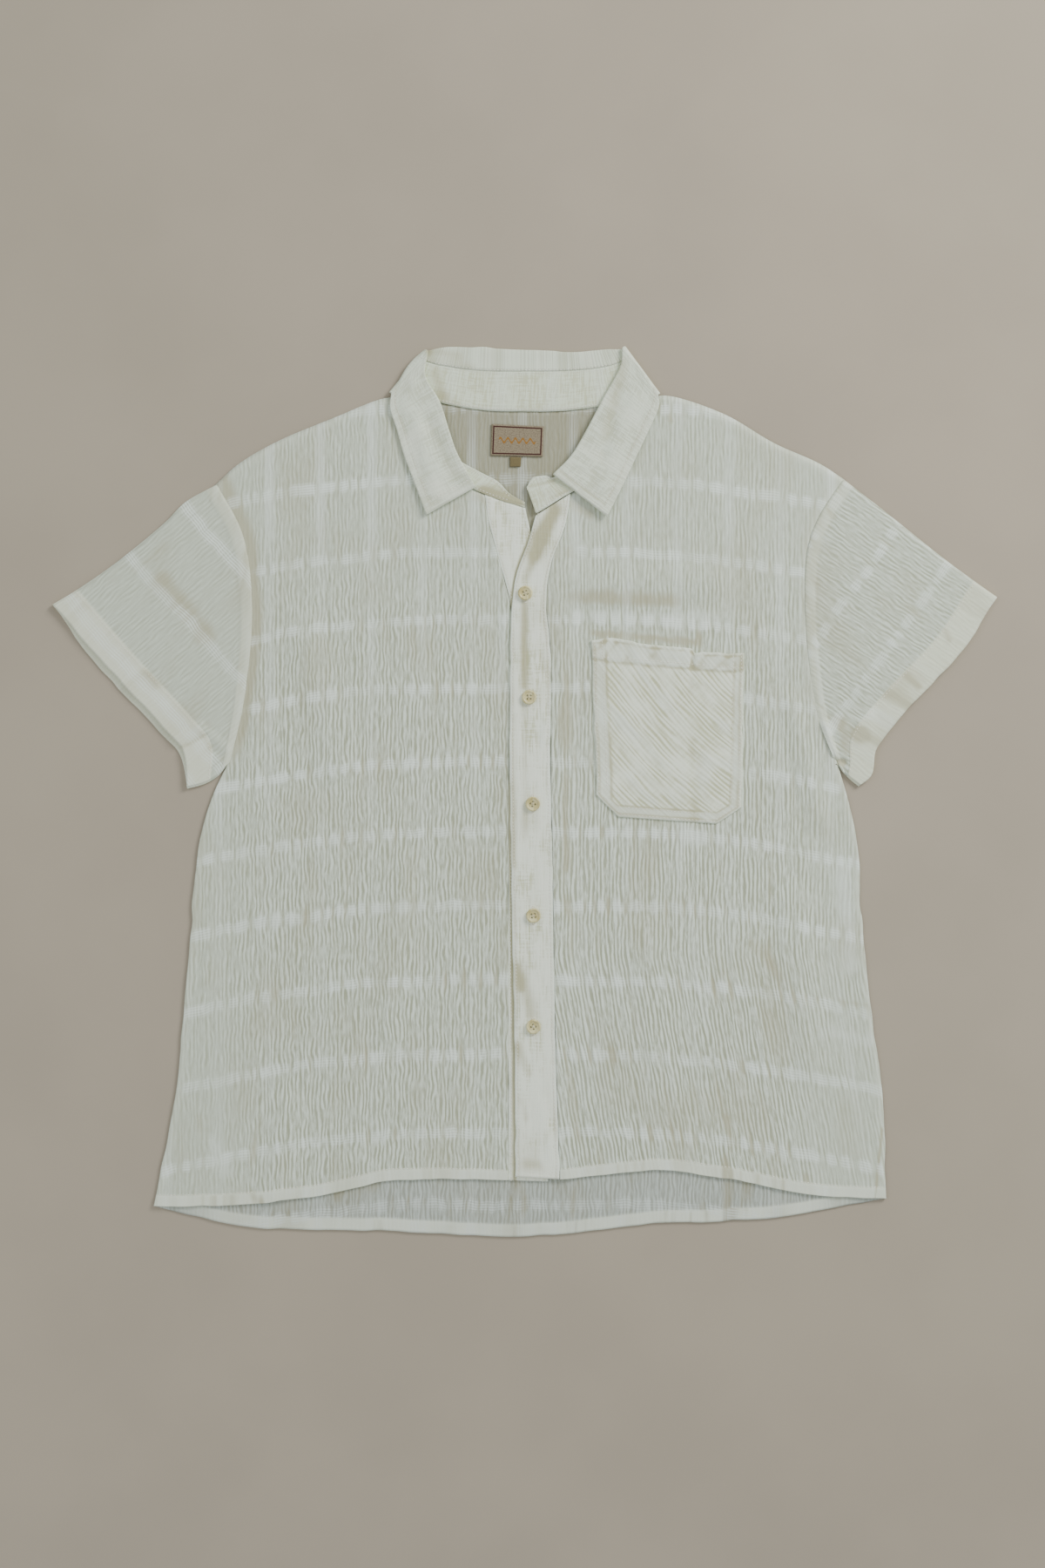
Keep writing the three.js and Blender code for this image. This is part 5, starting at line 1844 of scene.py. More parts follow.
@dataclass(frozen=True)
class CollarRow:
    """One section of the collar: the neck seam, the stand's top, the roll and the free edge."""

    at: str
    seam: tuple
    top: tuple
    roll: tuple = ()
    edge: tuple = ()
    rise: float = 0.0
    lift: float = 0.0
    fall_lift: float = 0.0
    sink: float = 0.0


@dataclass(frozen=True)
class Turn:
    """Where a layer lies at the neck's corners: height of the turn's middle, and its radius."""

    centre: float
    radius: float


@dataclass(frozen=True)
class Collar:
    """The stand on the neck seam and the fall that rolls over it, with both leaves."""

    right: tuple = (
        CollarRow("stand end", (0, 228), (0, 232), lift=0.3, sink=1.0),
        CollarRow("stand taper", (-15.5, 232.5), (-12, 239), lift=0.3, sink=1.4),
        CollarRow("stand at leaf", (-32, 238.5), (-22, 249), lift=0.2, sink=1.8),
        CollarRow("leaf point", (-48, 246.5), (-37, 257), (-39, 244), (-79, 221.5),
                  2.2, 0.2, 1.0, 1.8),
        CollarRow("front", (-67, 260), (-56, 269), (-53.5, 270), (-90.5, 252.5), 2.2, 0, 0.2, 1.5),
        CollarRow("side", (-82, 275.5), (-63.2, 289.7), (-61, 291), (-97, 270), 2.2, 0, 0, 1.3),
        CollarRow("upper side", (-93, 294.5), (-71.4, 310.4), (-68, 312.5), (-103, 291),
                  2.5, 0, 0, 0.9),
        CollarRow("below corner", (-99, 310), (-83.2, 330), (-79.5, 333.5), (-108, 307), 3.3),
        CollarRow("corner", (-98.5, 321), (-84, 346.5), (-77.5, 353.2), (-107, 319), 7.4),
    )
    back: tuple = (
        CollarRow("right", (-72, 313), (-64.5, 341.5), (-62.5, 357), (-74, 317.5), 14.5),
        CollarRow("right of middle", (-35, 306.2), (-31, 338), (-34, 356.5), (-36, 313), 17.7),
        CollarRow("middle", (0, 305), (2, 337.5), (0, 354.5), (0, 311.5), 16.2),
        CollarRow("left of middle", (35, 305.8), (37, 338), (34, 353), (36, 312), 14.2),
        CollarRow("left", (72, 311.3), (66, 341), (62, 354.5), (74, 317), 12.8),
    )
    left: tuple = (
        CollarRow("corner", (101, 320.5), (84.4, 347.8), (78.2, 355.8), (107, 318), 8.4),
        CollarRow("below corner", (101.5, 309), (80, 336.9), (76.5, 340.5), (107.5, 308), 4.2),
        CollarRow("upper side", (93, 291), (66.2, 313.1), (63, 315.5), (99, 288.5), 2.5, 0.1, 0.1, 0.9),
        CollarRow("side", (75, 267), (51, 286.4), (48.5, 288), (87, 263), 2.2, 0.6, 0.6, 1.3),
        CollarRow("front", (60, 253.5), (39.2, 267.7), (37, 269), (78, 244), 2.2, 1.2, 1.2, 1.4),
        CollarRow("leaf point", (46, 244.5), (24.5, 252.5), (22.5, 254), (66, 220), 2.2, 1.8, 1.8, 1.6),
        CollarRow("stand at leaf", (30, 235.5), (16, 253), lift=1.8, sink=1.6),
        CollarRow("stand round", (14, 225.5), (6.5, 251.5), lift=1.8, sink=1.6),
        CollarRow("stand end", (9, 223), (1.5, 244), lift=1.8, sink=1.6),
    )
    seam_turn: Turn = Turn(2.45, 0.65)
    inner_turn: Turn = Turn(2.9, 0.8)
    roll_turn: Turn = Turn(2.9, 1.6)
    outer_turn: Turn = Turn(2.9, 2.4)
    edge_turn: Turn = Turn(2.3, 1.8)
    roll_radius: float = 0.8
    half_wall: float = 0.5
    seam_lap: float = 1.3
    row_steps: int = 12
    turn_steps: int = 12
    rise_cells: int = 6
    roll_steps: int = 10
    fall_cells: int = 34
    stand_cells: int = 18
    leaf_inset: float = 6.0
    back_inset: float = 1.1
    stand_inset: float = 1.9
    stand_tall: float = 7.0
    corner_bulge: float = 2.2
    creases: tuple = (
        Fold("trough of the right leaf", (-76, 296), (-55, 250), 10.0, -1.3),
        Fold("crown of the right leaf", (-90, 300), (-72, 238), 11.0, 1.0),
        Fold("right leaf's shoulder", (-88, 326), (-98, 306), 9.0, 0.9),
        Fold("crown of the left leaf", (90, 312), (66, 246), 12.0, 0.9),
        Fold("left leaf's roll", (66, 318), (38, 276), 6.0, 0.5),
        Fold("left leaf's dent", (74, 318), (62, 268), 8.0, -0.7),
    )
    shadows: tuple = (
        Fold("inside the right roll", (-77, 352), (-74, 326), 6.0, -0.5),
        Fold("right roll", (-68, 312), (-55, 276), 5.0, -0.25),
        Fold("right leaf's trough", (-74, 292), (-54, 250), 8.0, -0.25),
        Fold("left leaf beside the roll", (80, 344), (64, 284), 10.0, -0.45),
        Fold("left leaf's foot", (52, 262), (60, 244), 12.0, -0.15),
        Fold("behind the right corner", (-76, 354), (-52, 349), 7.0, -0.45),
        Fold("below the roll behind", (-72, 346), (-40, 341), 4.0, -0.35),
        Fold("pale rim of the right leaf", (-90, 284), (-87, 256), 7.0, 0.8),
        Fold("pale foot of the right leaf", (-72, 242), (-52, 239), 11.0, 1.0),
    )
    stand_creases: tuple = (
        Fold("rolled rim of the left end", (4.5, 244.5), (24, 249), 3.2, -0.55),
        Fold("seam of the left end", (20, 234.5), (34, 241), 3.0, -0.3),
        Fold("dark corner behind", (-72, 336), (-66, 318), 9.0, -0.6),
        Fold("foot of it", (-70, 318), (-58, 313), 8.0, -0.35),
        Fold("right end's foot", (-34, 243), (-12, 234), 4.0, -0.3),
    )
    # Painted shade at both ends of the stand.
    stand_painted_shading: tuple = (
        Fold("right end", (-32, 240), (-6, 233), 11.0, -1.0),
        Fold("left end", (16, 238), (30, 241), 6.0, -0.3),
    )

    def between(self, rows: tuple, angle: float, part: CollarPart) -> tuple[np.ndarray, np.ndarray]:
        """Sections along a stretch of rows, with rounded values between them.

        Args:
            rows: The rows of one stretch.
            angle: How the layers lie there, 90 in front and -90 behind.
            part: Fall or stand.

        Returns:
            The sections' values and their angles.
        """
        values = np.array([self.values(row, part) for row in rows])
        ends = np.vstack([2 * values[0] - values[1], values, 2 * values[-1] - values[-2]])
        share = np.linspace(0, 1, self.row_steps, endpoint=False)[:, None]
        found = [cubic(b, c, (c - a) / 2, (d - b) / 2, share)
                 for a, b, c, d in zip(ends, ends[1:], ends[2:], ends[3:])]
        made = np.vstack([*found, values[-1:]])
        return made, np.full(len(made), float(angle))

    def values(self, row: CollarRow, part: CollarPart) -> tuple:
        """The numbers of a row that the fall or the stand needs.

        Args:
            row: One section.
            part: Fall or stand.

        Returns:
            The numbers.
        """
        if part is CollarPart.FALL:
            return (*row.roll, *row.edge, row.rise, row.fall_lift, row.seam[0])
        return (*row.seam, *row.top, row.lift, row.sink, row.seam[0])

    def sections(self, part: CollarPart) -> tuple[np.ndarray, np.ndarray]:
        """All sections from the right front end over the back to the left front end.

        Args:
            part: Fall or stand.

        Returns:
            The sections' values and their angles.
        """
        right = [row for row in self.right if row.roll or part is CollarPart.STAND]
        left = [row for row in self.left if row.roll or part is CollarPart.STAND]
        behind = [self.right[-1], *self.back, self.left[0]]
        turning = 90 - 180 * np.arange(1, self.turn_steps) / self.turn_steps
        stretches = [
            self.between(right, 90, part),
            (np.tile(self.values(right[-1], part), (len(turning), 1)), turning),
            self.between(behind, -90, part),
            (np.tile(self.values(left[0], part), (len(turning), 1)), -turning),
            self.between(left, 90, part),
        ]
        return (np.vstack([values for values, _ in stretches]),
                np.concatenate([angles for _, angles in stretches]))

    def corner_side(self, seam_x: float) -> np.ndarray:
        """Outward side of the fold at the neck's corner on the same side.

        Args:
            seam_x: X of the section's neck seam.

        Returns:
            The side, as a way in X and Y.
        """
        row = self.right[-1] if seam_x < 0 else self.left[0]
        run = np.array(row.roll, float) - np.array(row.edge, float)
        run /= np.linalg.norm(run)
        return np.array([math.copysign(abs(run[1]), seam_x), abs(run[0])])

    def place(self, at: np.ndarray, turn: Turn, angle: float, raised: float,
              seam_x: float) -> np.ndarray:
        """A place on one of the collar's lines, at the height where its layer lies.

        Args:
            at: X and Y.
            turn: The layer's turn at the corners.
            angle: The section's angle.
            raised: How much higher it lies on what is below.
            seam_x: X of the section's neck seam.

        Returns:
            X, Y and Z.
        """
        bend = math.radians(angle)
        plan = at + self.corner_side(seam_x) * turn.radius * math.cos(bend)
        return np.array([*plan, turn.centre + turn.radius * math.sin(bend) + raised])

    def fall_points(self, values: np.ndarray, angle: float) -> np.ndarray:
        """The fall across one section: up from the stand, over the roll, down to the edge.

        Args:
            values: The section's numbers.
            angle: Its angle.

        Returns:
            The section's points.
        """
        roll, edge = values[0:2], values[2:4]
        rise, raised, seam_x = values[4:7]
        away = (edge - roll) / np.linalg.norm(edge - roll)
        turn_at = roll + away * (self.roll_radius + self.half_wall)
        centre, inner, outer = (self.place(turn_at, turn, angle, raised, seam_x)
                                for turn in (self.roll_turn, self.inner_turn, self.outer_turn))
        start = self.place(roll + away * (rise + self.seam_lap), self.inner_turn, angle,
                           raised + 0.25 * math.copysign(1, -angle - 1e-9), seam_x)
        end = self.place(edge, self.edge_turn, angle, raised, seam_x)
        up = np.linspace(0, 1, self.rise_cells, endpoint=False)[:, None]
        over = np.linspace(0, math.pi, self.roll_steps + 1)[:, None]
        down = np.linspace(0, 1, self.fall_cells + 1)[1:, None]
        return np.vstack([
            start * (1 - up) + inner * up,
            centre + (inner - centre) * np.cos(over)
            - np.append(away, 0) * self.roll_radius * np.sin(over),
            outer * (1 - down) + end * down,
        ])

    def stand_points(self, values: np.ndarray, angle: float) -> np.ndarray:
        """The stand across one section, from the neck seam to its top.

        Args:
            values: The section's numbers.
            angle: Its angle.

        Returns:
            The section's points.
        """
        lift, sink, seam_x = values[4:7]
        seam = self.place(values[0:2], self.seam_turn, angle, lift, seam_x)
        top = self.place(values[2:4], self.inner_turn, angle, lift - sink, seam_x)
        up = np.linspace(0, 1, self.stand_cells + 1)[:, None]
        return seam * (1 - up) + top * up

    def fall(self) -> Cloth:
        """Lays out the fall, with both leaves.

        Returns:
            The fall's cloth.
        """
        values, angles = self.sections(CollarPart.FALL)
        points = np.array([self.fall_points(v, a) for v, a in zip(values, angles)])
        first = self.rise_cells + self.roll_steps
        far = np.clip((np.arange(points.shape[1]) - first) / self.fall_cells, 0, 1)[None, :]
        front, leaf = (angles > 89)[:, None], far > 0
        turning = np.cos(np.radians(angles)) * (values[:, 6] < 0)
        outward = np.array([self.corner_side(seam_x) for seam_x in values[:, 6]])
        bulge = self.corner_bulge * turning[:, None] * np.sin(np.pi * np.clip(far * 1.4, 0, 1))
        points[..., :2] += outward[:, None] * bulge[..., None]
        behind = (angles < -89)[:, None] * (np.arange(points.shape[1]) > self.rise_cells - 2)
        points[..., 1] += behind * 0.7 * wander(points[..., 0] / 11, points[..., 1] * 0, 47)
        x, y = points[..., 0], points[..., 1]
        small = 0.1 * wander(x / 5, y / 9, 41) + 0.16 * wander(x / 16, y / 14, 42)
        folds = pressed(self.creases, x, y)
        lift = (folds * np.sin(np.pi * np.clip(far * 1.1, 0, 1)) + small) * (front & leaf)
        width = np.linalg.norm(values[:, 2:4] - values[:, 0:2], axis=1)[:, None]
        run = travelled(points[:, first + self.fall_cells // 2])
        near = np.minimum((1 - far) * width, np.minimum(run, run[-1] - run)[:, None])
        groove = -0.16 * bell(near - self.leaf_inset, 1.0) * (front & leaf)
        points[..., 2] += lift + groove
        # Painted shade, with painted light on the leaves' raised crowns and pale rims.
        shade = pressed(self.shadows, x, y) + 3 * groove + 0.35 * np.clip(lift, 0, 1)
        return Cloth(name="collar_cloth", node="collar", slot=Slot.DOUBLED, points=points,
                     weave=np.dstack([np.broadcast_to(run[:, None], x.shape), far * width]),
                     creases=Creases.plain(small + 1.6 * groove + 0.15 * folds, shade),
                     turned=0.5 * (1 - smoothstep(near, 5.0, 7.0)) * leaf,
                     thickness=0.95, turned_thickness=1.05, centred=True)

    def leaf_seams(self, fall: Cloth) -> list[np.ndarray]:
        """Stitch paths of both leaves, along the free edge and along the front edge.

        Args:
            fall: The fall's cloth.

        Returns:
            The paths.
        """
        _, angles = self.sections(CollarPart.FALL)
        roll, edge = fall.points[:, self.rise_cells + self.roll_steps], fall.points[:, -1]
        way = edge - roll
        inset = edge - way / np.linalg.norm(way, axis=1, keepdims=True) * self.leaf_inset
        middle = (roll + edge) / 2
        paths = []
        for order in (1, -1):
            ahead = int(np.argmax(angles[::order] < 89))
            start = int(np.searchsorted(travelled(middle[::order][:ahead]), self.leaf_inset))
            paths.append(inset[::order][start:ahead])
            paths.append(np.linspace(roll[::order][start], inset[::order][start], 20))
        return paths

    def back_seam(self, fall: Cloth) -> list[np.ndarray]:
        """Stitch path where the fall is sewn to the stand, behind the neck.

        Args:
            fall: The fall's cloth.

        Returns:
            The path, in a list.
        """
        _, angles = self.sections(CollarPart.FALL)
        start, inner = fall.points[angles < -89, 0], fall.points[angles < -89, self.rise_cells]
        way = inner - start
        return [start + way / np.linalg.norm(way, axis=1, keepdims=True) * self.back_inset]

    def stand_seams(self, stand: Cloth) -> list[np.ndarray]:
        """Stitch paths just inside the stand's lower edge and, at its ends, its upper one.

        Args:
            stand: The stand's cloth.

        Returns:
            The paths.
        """
        low, top = stand.points[:, 0], stand.points[:, -1]
        height = np.linalg.norm(top - low, axis=1, keepdims=True)
        way = (top - low) / height * self.stand_inset
        tall = height[:, 0] > self.stand_tall
        place, ends = np.arange(len(low)), self.row_steps * 3
        right, left = tall & (place < ends), tall & (place >= len(low) - ends)
        return [(low + way)[tall], (top - way)[right], (top - way)[left]]

    def stand(self) -> Cloth:
        """Lays out the stand, whose ends lap over each other in front.

        Returns:
            The stand's cloth.
        """
        values, angles = self.sections(CollarPart.STAND)
        points = np.array([self.stand_points(v, a) for v, a in zip(values, angles)])
        x, y = points[..., 0], points[..., 1]
        up = np.linspace(0, 1, points.shape[1])[None, :]
        small = 0.09 * wander(x / 4, y / 9, 61) + 0.1 * wander(x / 12, y / 10, 62)
        height = np.linalg.norm(points[:, -1] - points[:, 0], axis=1)[:, None]
        edge = np.minimum(up, 1 - up) * height
        groove = -0.12 * bell(edge - 2.2, 0.8)
        # The creases, the ends and the stitch grooves paint shade into the stand's colour.
        folds = pressed(self.stand_creases, x, y)
        painted_shading = pressed(self.stand_painted_shading, x, y)
        front = (angles > 89)[:, None]
        points[..., 2] += (small + groove + 0.6 * folds * front) * smoothstep(height, 3, 8)
        points[..., 2] -= np.where(front, 0.85, 0.4) * (1 - smoothstep(edge, 0, 3.0)) * (up < 0.5)
        run = travelled(points[:, 4])
        return Cloth(name="collar_stand_cloth", node="collar_stand", slot=Slot.DOUBLED,
                     points=points,
                     weave=np.dstack([np.broadcast_to(run[:, None], x.shape), up * height]),
                     creases=Creases.plain(small + groove, folds + painted_shading + 2 * groove),
                     turned=0.5 * np.broadcast_to(1 - smoothstep(edge, 1.8, 3.2), x.shape),
                     thickness=0.9, turned_thickness=1.0, centred=True)


@dataclass(frozen=True)
class Patch:
    """A thin woven patch inside the back neck."""

    name: str
    slot: Slot
    corners: tuple
    columns: int = 42
    rows: int = 26
    width: float = 42.0
    length: float = 24.0

    def cloth(self) -> Cloth:
        """Lays out the patch between its corners, lower right first.

        Returns:
            The patch's cloth.
        """
        u, v = np.meshgrid(np.linspace(0, 1, self.columns + 1), np.linspace(0, 1, self.rows + 1))
        a, b, c, d = (np.array(corner, float) for corner in self.corners)
        over, up = u[..., None], v[..., None]
        place = (a * (1 - over) + b * over) * (1 - up) + (c * over + d * (1 - over)) * up
        edge = np.minimum(np.minimum(u, 1 - u) * self.width, np.minimum(v, 1 - v) * self.length)
        small = 0.12 * wander(u * 5, v * 3, 83)
        z = LAYERS.label + small - 0.3 * (1 - smoothstep(edge, 0, 1.0))
        return Cloth(name=f"{self.name}_cloth", node=self.name, slot=self.slot,
                     points=np.dstack([place, z]), weave=np.dstack([u, v]) / MM,
                     creases=Creases.plain(small), turned=u * 0, thickness=0.7,
                     turned_thickness=0.8)


@dataclass(frozen=True)
class Buttons:
    """Five flat horn buttons, sewn on with crossed thread over stitched buttonholes."""

    places: tuple = (
        ("button_1", 0.5, 159, 20), ("button_2", 3.5, 75.5, 0), ("button_3", 6.5, -10, 35),
        ("button_4", 7, -99.5, 10), ("button_5", 7, -188.5, 50),
    )
    radius: float = 5.8
    height: float = 2.2
    rim: float = 1.35
    dish: float = 0.65
    hole: float = 0.8
    hole_pitch: float = 2.6
    sides: int = 48
    split_angle: float = 50.0
    strand_past: float = 0.9
    buttonhole: float = 14.0
    buttonhole_width: float = 2.6
    buttonhole_pitch: float = 0.85

    def form(self) -> bpy.types.Mesh:
        """Turns a button's profile round at the origin and drills its four holes.

        Returns:
            The button's mesh.
        """
        profile = (
            (0, 0), (self.radius - 1.4, 0), (self.radius - 0.5, 0.3), (self.radius - 0.1, 0.8),
            (self.radius, 1.15), (self.radius - 0.15, 1.65), (self.radius - 0.5, self.height - 0.1),
            (self.radius - 0.85, self.height), (self.radius - self.rim, self.height - 0.1),
            (self.radius - self.rim - 0.45, self.height - 0.45),
            (self.radius - self.rim - 1.0, self.height - self.dish), (0, self.height - self.dish),
        )
        body = bmesh.new()
        verts = [body.verts.new((x * MM, 0, z * MM)) for x, z in profile]
        edges = [body.edges.new(pair) for pair in zip(verts, verts[1:])]
        bmesh.ops.spin(body, geom=verts + edges, cent=(0, 0, 0), axis=(0, 0, 1),
                       angle=2 * math.pi, steps=self.sides, use_merge=True)
        bmesh.ops.remove_doubles(body, verts=body.verts, dist=1e-6)
        bmesh.ops.recalc_face_normals(body, faces=body.faces)
        solid = into_scene("button_turning", body)
        drill = bmesh.new()
        for sideways in (-0.5, 0.5):
            for endways in (-0.5, 0.5):
                spot = Vector((sideways * self.hole_pitch, endways * self.hole_pitch, 1.0)) * MM
                bmesh.ops.create_cone(drill, cap_ends=True, segments=14, radius1=self.hole * MM,
                                      radius2=self.hole * MM, depth=6 * MM,
                                      matrix=Matrix.Translation(spot))
        cutter = into_scene("button_drill", drill)
        cut = solid.modifiers.new("holes", "BOOLEAN")
        cut.operation, cut.object, cut.solver = "DIFFERENCE", cutter, "EXACT"
        bpy.context.view_layer.update()
        evaluated = solid.evaluated_get(bpy.context.evaluated_depsgraph_get())
        made = bpy.data.meshes.new_from_object(evaluated)
        for spare in (solid, cutter):
            bpy.data.objects.remove(spare)
        return made

    def build(self, horn: bpy.types.Material) -> None:
        """Sets every button on the placket, with the horn as its finish.

        Args:
            horn: The buttons' finish.
        """
        form = self.form()
        for name, x, y, turn in self.places:
            mesh = form.copy()
            place = Matrix.Translation(Vector((x, y, LAYERS.button)) * MM)
            mesh.transform(place @ Matrix.Rotation(math.radians(turn), 4, "Z"))
            mesh.materials.append(horn)
            mesh.shade_smooth()
            piece = bpy.data.objects.new(f"{name}_horn", mesh)
            bpy.context.scene.collection.objects.link(piece)
            edges = piece.modifiers.new("crisp", "EDGE_SPLIT")
            edges.split_angle = math.radians(self.split_angle)
            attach(piece, BODY)
            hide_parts(name)
            LOG.info("%s: %d faces", piece.name, len(mesh.polygons))

    def sew(self, placket: bpy.types.Object, thread: bpy.types.Material) -> None:
        """Adds the crossed thread of each button and the stitched buttonholes.

        Args:
            placket: The strip that the buttonholes are in.
            thread: The thread's finish.
        """
        strand, upright = Thread(width=0.55, height=0.5), Vector((0, 0, 1))
        form = bmesh.new()
        length = self.hole_pitch * math.sqrt(2) + self.strand_past
        for _, x, y, turn in self.places:
            place = Vector((x, y, LAYERS.button + self.height - self.dish + 0.15)) * MM
            for cross in (45, 135):
                angle = math.radians(turn + cross)
                way = Vector((math.cos(angle), math.sin(angle), 0))
                strand.stitch(form, place, way, upright, length)
        waxed = Cotton("button_cotton", paint(232, 224, 190), paint(196, 186, 146)).material()
        strand.close("button_thread", form, Slot.BUTTON, waxed)
        bar, cloth, holes = Thread(width=0.75, height=0.5), Surface(placket), bmesh.new()
        half, side = self.buttonhole / 2, self.buttonhole_width / 2
        steps = np.arange(-half, half + 0.01, self.buttonhole_pitch)
        bars = [(flank * side * 0.62, step, side * 1.1) for flank in (-1, 1) for step in steps]
        bars += [(0.0, end * (half + 0.5), self.buttonhole_width) for end in (-1, 1)]
        for _, x, y, _ in self.places:
            for aside, step, width in bars:
                place, up = cloth.under(x + aside, y + step)
                if place is not None:
                    bar.stitch(holes, place, Vector((1, 0, 0)), up, width)
        bar.close("buttonhole_stitches", holes, Slot.DOUBLED, thread)


@dataclass(frozen=True)
class Studio:
    """The floor, the lights and the camera straight above."""

    middle: tuple = (-1.75, 5.95)
    height: float = 1.7
    field_height: float = 1.26
    sensor: float = 36.0
    floor_colour: Colour = paint(178, 167, 148)
    floor_shade: float = 0.93

    def camera(self) -> None:
        """Sets the camera at the photograph's angle."""
        data = bpy.data.cameras.new("camera")
        data.sensor_width = self.sensor
        data.lens = self.sensor / 2 * self.height / (self.field_height / 2)
        data.clip_start, data.clip_end = 0.05, 50
        camera = bpy.data.objects.new("camera", data)
        camera.location = (self.middle[0] * MM, self.middle[1] * MM, self.height)
        bpy.context.scene.collection.objects.link(camera)
        bpy.context.scene.camera = camera

    def light(self, name: str, place: tuple, size: float, power: float) -> None:
        """Hangs a square soft light that looks at the shirt.

        Args:
            name: The light's name.
            place: Where it hangs, in metres.
            size: Its side.
            power: Its power in watts.
        """
        data = bpy.data.lights.new(name, "AREA")
        data.shape, data.size, data.energy = "SQUARE", size, power
        lamp = bpy.data.objects.new(name, data)
        lamp.location = place
        lamp.rotation_euler = (-Vector(place)).to_track_quat("-Z", "Y").to_euler()
        bpy.context.scene.collection.objects.link(lamp)

    def floor(self) -> None:
        """Lays the plain floor, just under the shirt."""
        form = bmesh.new()
        bmesh.ops.create_grid(form, x_segments=2, y_segments=2, size=4.0,
                              matrix=Matrix.Translation((0, 0, -0.0002)))
        graph = Graph("floor_plain")
        place = graph.node("ShaderNodeTexCoord").outputs["Object"]
        grain = graph.node("ShaderNodeTexNoise", Vector=place, Scale=6.0, Detail=5.0).outputs[0]
        shade = tuple(channel * self.floor_shade for channel in self.floor_colour)
        colour = graph.mix(graph.ramp(grain, 0.3, 0.7), shade, self.floor_colour)
        made = into_scene("floor", form, graph.finish(colour, grain, 0.1, 0.85))

    def build(self) -> None:
        """Lays the floor and hangs the lights."""
        self.floor()
        world = bpy.data.worlds.new("daylight")
        world.use_nodes = True
        sky = world.node_tree.nodes["Background"]
        sky.inputs["Color"].default_value = (0.93, 0.97, 1.0, 1.0)
        sky.inputs["Strength"].default_value = 0.6
        bpy.context.scene.world = world
        self.light("key", (1.5, 1.35, 1.15), 0.8, 46.0)
        self.light("fill", (-1.6, -0.4, 1.9), 1.8, 12.0)


@dataclass(frozen=True)
class Sewing:
    """Lays the pieces of cloth one after another and sews them with one thread."""

    thread: bpy.types.Material

    def lay(self, cloth: Cloth, finish: bpy.types.Material, flat: tuple, held: Held,
            rests_on: list[str], area: float | None = None, seam: str = "",
            paths: Sequence[np.ndarray] = ()) -> bpy.types.Object:
        """Args:
            cloth: The piece.
            finish: Its material.
            flat: Width and length that it was cut to, in metres; not used.
            held: How it lies; not used.
            rests_on: What it lies on; not used.
            area: Flat area where the cut isn't a rectangle; not used.
            seam: Name of its rows of stitches, where it has any.
            paths: Their paths.

        Returns:
            The piece.
        """
        piece = cloth.build(finish)
        sewn = [Thread().sew(seam, paths, piece, cloth.slot, self.thread)] if seam else []
        return piece


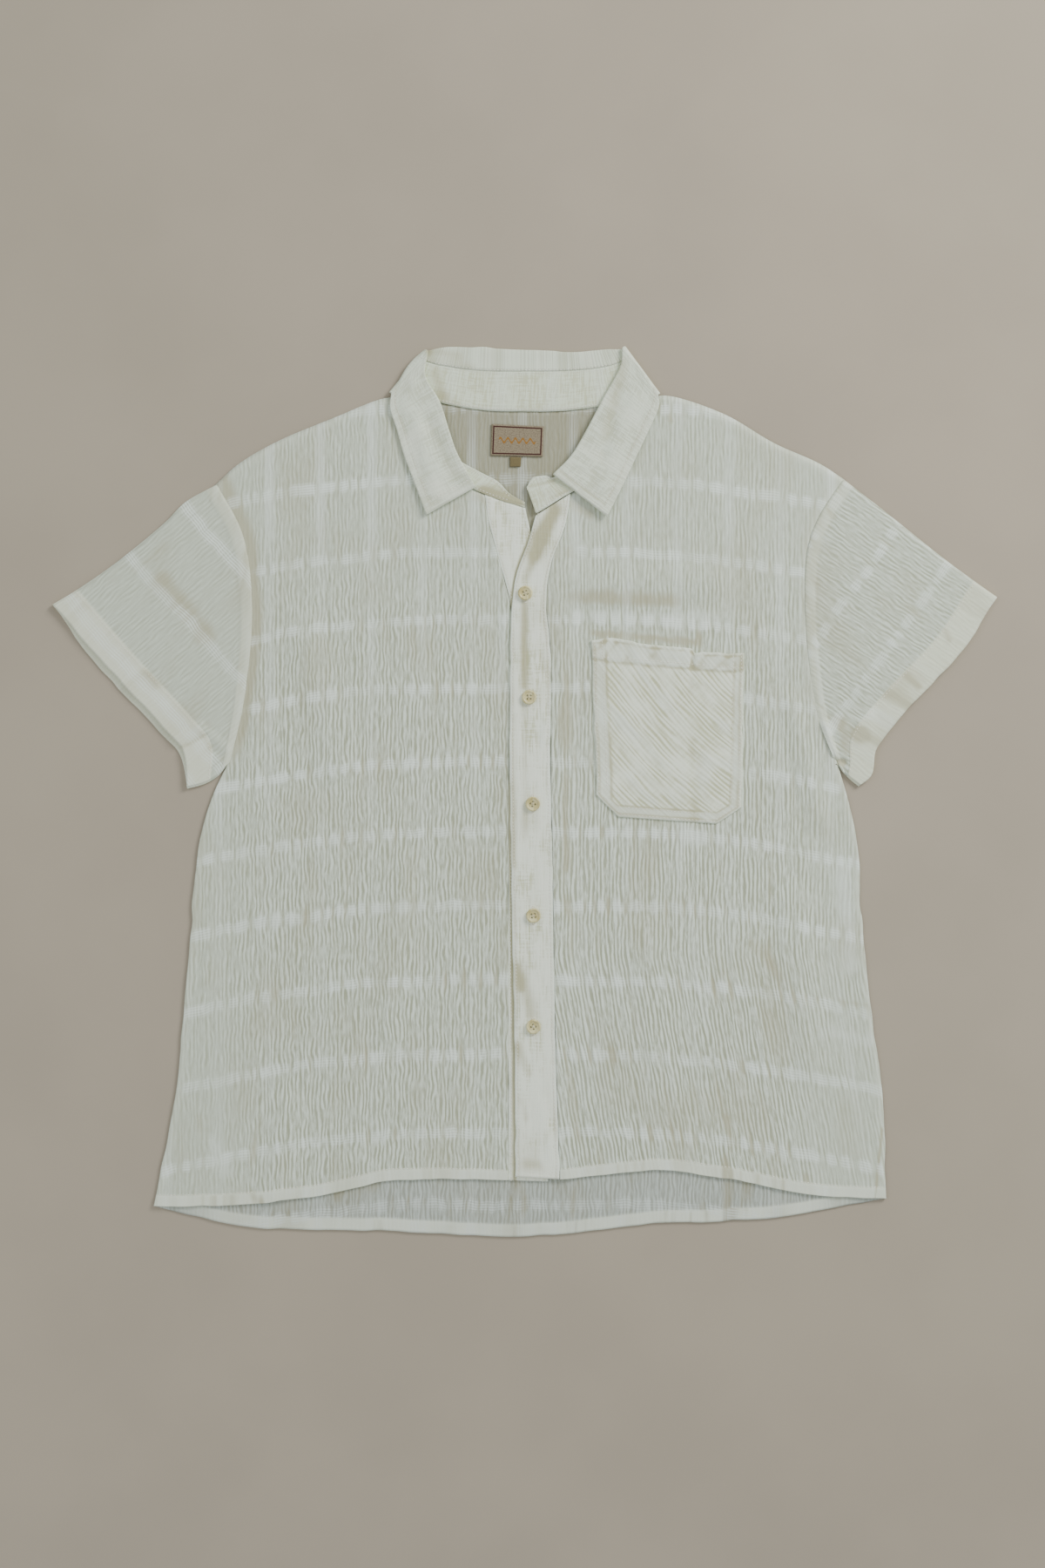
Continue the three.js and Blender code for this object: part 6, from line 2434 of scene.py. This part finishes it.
def main() -> None:
    """Builds the shirt from the back up and reports each piece."""
    logging.basicConfig(level=logging.INFO, format="%(name)s: %(message)s")
    studio = Studio()
    studio.camera()
    studio.build()
    gauze = {
        Half.RIGHT: Gauze("gauze_front_right").material(),
        Half.LEFT: Gauze("gauze_front_left", ripple_length=30.0, swerve=3.8).material(),
    }
    inside = Gauze("gauze_back", ridge=paint(196, 204, 194), trough=paint(164, 168, 154),
                   rib=paint(224, 232, 224), warm=paint(158, 152, 120), rib_share=0.75,
                   length_rib_share=0.6, rib_floor=0.2, lump_floor=0.3, top_darkening=0.68).material()
    sleeve_gauze = {
        Half.RIGHT: Gauze("gauze_sleeve_right", turned=paint(243, 245, 218),
                          turned_share=0.62, rib_share=0.85, length_rib_share=0.1,
                          rib_floor=0.1, lump_floor=0.8).material(),
        Half.LEFT: Gauze("gauze_sleeve_left", turned=paint(240, 243, 214),
                         turned_share=0.62, rib_share=0.8, length_rib_share=0.2,
                         lump_floor=0.0).material(),
    }
    strip_cloth = Doubled("doubled_strip", light=paint(250, 255, 236), shade=paint(200, 202, 160),
                          stripe_share=0.0, ripple=2.7, ripple_length=50.0, ripple_share=0.4,
                          swerve=2.0, shade_from=0.2, light_from=0.62).material()
    collar_cloth = Doubled("doubled_collar", rib=paint(246, 250, 230),
                           light=paint(232, 240, 218)).material()
    stand_cloth = Doubled("doubled_stand", light=paint(233, 242, 216),
                          shade=paint(212, 216, 182)).material()
    pocket_cloth = Doubled("doubled_pocket", light=paint(246, 252, 230), shade=paint(200, 202, 164),
                           stripe_share=0.0, streak_share=0.22, ripple_share=0.8).material()
    thread = Cotton().material()
    sewing, body, opening = Sewing(thread), Body(), Opening()

    back = body.back()
    sewing.lay(back, inside, (0.60, 0.70), Held.LAID, ["floor"],
               back.cut_area() + 0.6 * HEM_ALLOWANCE)
    for half in Half:
        cloth = body.front(half, opening)
        sewing.lay(cloth, gauze[half], (0.30, 0.68), Held.LAID, ["back_cloth"],
                   cloth.cut_area() + 0.29 * HEM_ALLOWANCE,
                   f"hem_stitches_{half.word}", [cloth.points[body.hem_row, 4:-4]])

    band = opening.strip("button_band", opening.band, LAYERS.band, (), 11)
    sewing.lay(band, strip_cloth, (0.032, 0.56), Held.FOLDED, ["back_cloth"], None,
               "band_stitches", opening.seams(band, opening.stitch_inset))
    placket = opening.strip("placket", opening.placket, LAYERS.placket, opening.creases, 23)
    placket_piece = sewing.lay(placket, strip_cloth, (0.033, 0.56), Held.FOLDED,
                               ["button_band_cloth"], None,
                               "placket_stitches", opening.seams(placket, opening.stitch_inset))

    for sleeve in SLEEVES:
        cloth = sleeve.cloth()
        sewing.lay(cloth, sleeve_gauze[sleeve.half], (0.47, 0.165), Held.LAID, ["floor"], 0.047,
                   f"cuff_stitches_{sleeve.half.word}", [sleeve.cuff_seam(cloth)])

    pocket = Pocket()
    sewing.lay(pocket.cloth(), pocket_cloth, (0.123, 0.162), Held.LAID, ["front_left_cloth"],
               None, "pocket_stitches", pocket.seams())

    collar = Collar()
    stand, fall = collar.stand(), collar.fall()
    sewing.lay(stand, stand_cloth, (0.46, 0.036), Held.FOLDED,
               ["back_cloth", "front_left_cloth"], None,
               "stand_stitches", collar.stand_seams(stand))
    sewing.lay(fall, collar_cloth, (0.44, 0.062), Held.FOLDED, ["collar_stand_cloth"], None,
               "collar_stitches", collar.leaf_seams(fall) + collar.back_seam(fall))

    label = Patch("neck_label", Slot.LABEL,
                  ((-27.5, 269.5), (14.5, 268.5), (15.5, 293), (-26.5, 295)))
    woven = Woven("label_woven", paint(150, 138, 112), paint(64, 28, 22), paint(150, 106, 40))
    sewing.lay(label.cloth(), woven.material(), (0.042, 0.026), Held.LAID, ["back_cloth"])
    tab = Patch("size_tab", Slot.TAB,
                ((-12, 260.5), (-3.2, 260.5), (-2.6, 268.4), (-12, 268.6)), 14, 12)
    khaki = Woven("tab_woven", paint(122, 110, 74), paint(96, 82, 52), paint(122, 110, 74), False)
    sewing.lay(tab.cloth(), khaki.material(), (0.0105, 0.0105), Held.LAID, ["back_cloth"])

    buttons = Buttons()
    buttons.build(Horn().material())
    buttons.sew(placket_piece, thread)


if __name__ == "__main__":
    main()
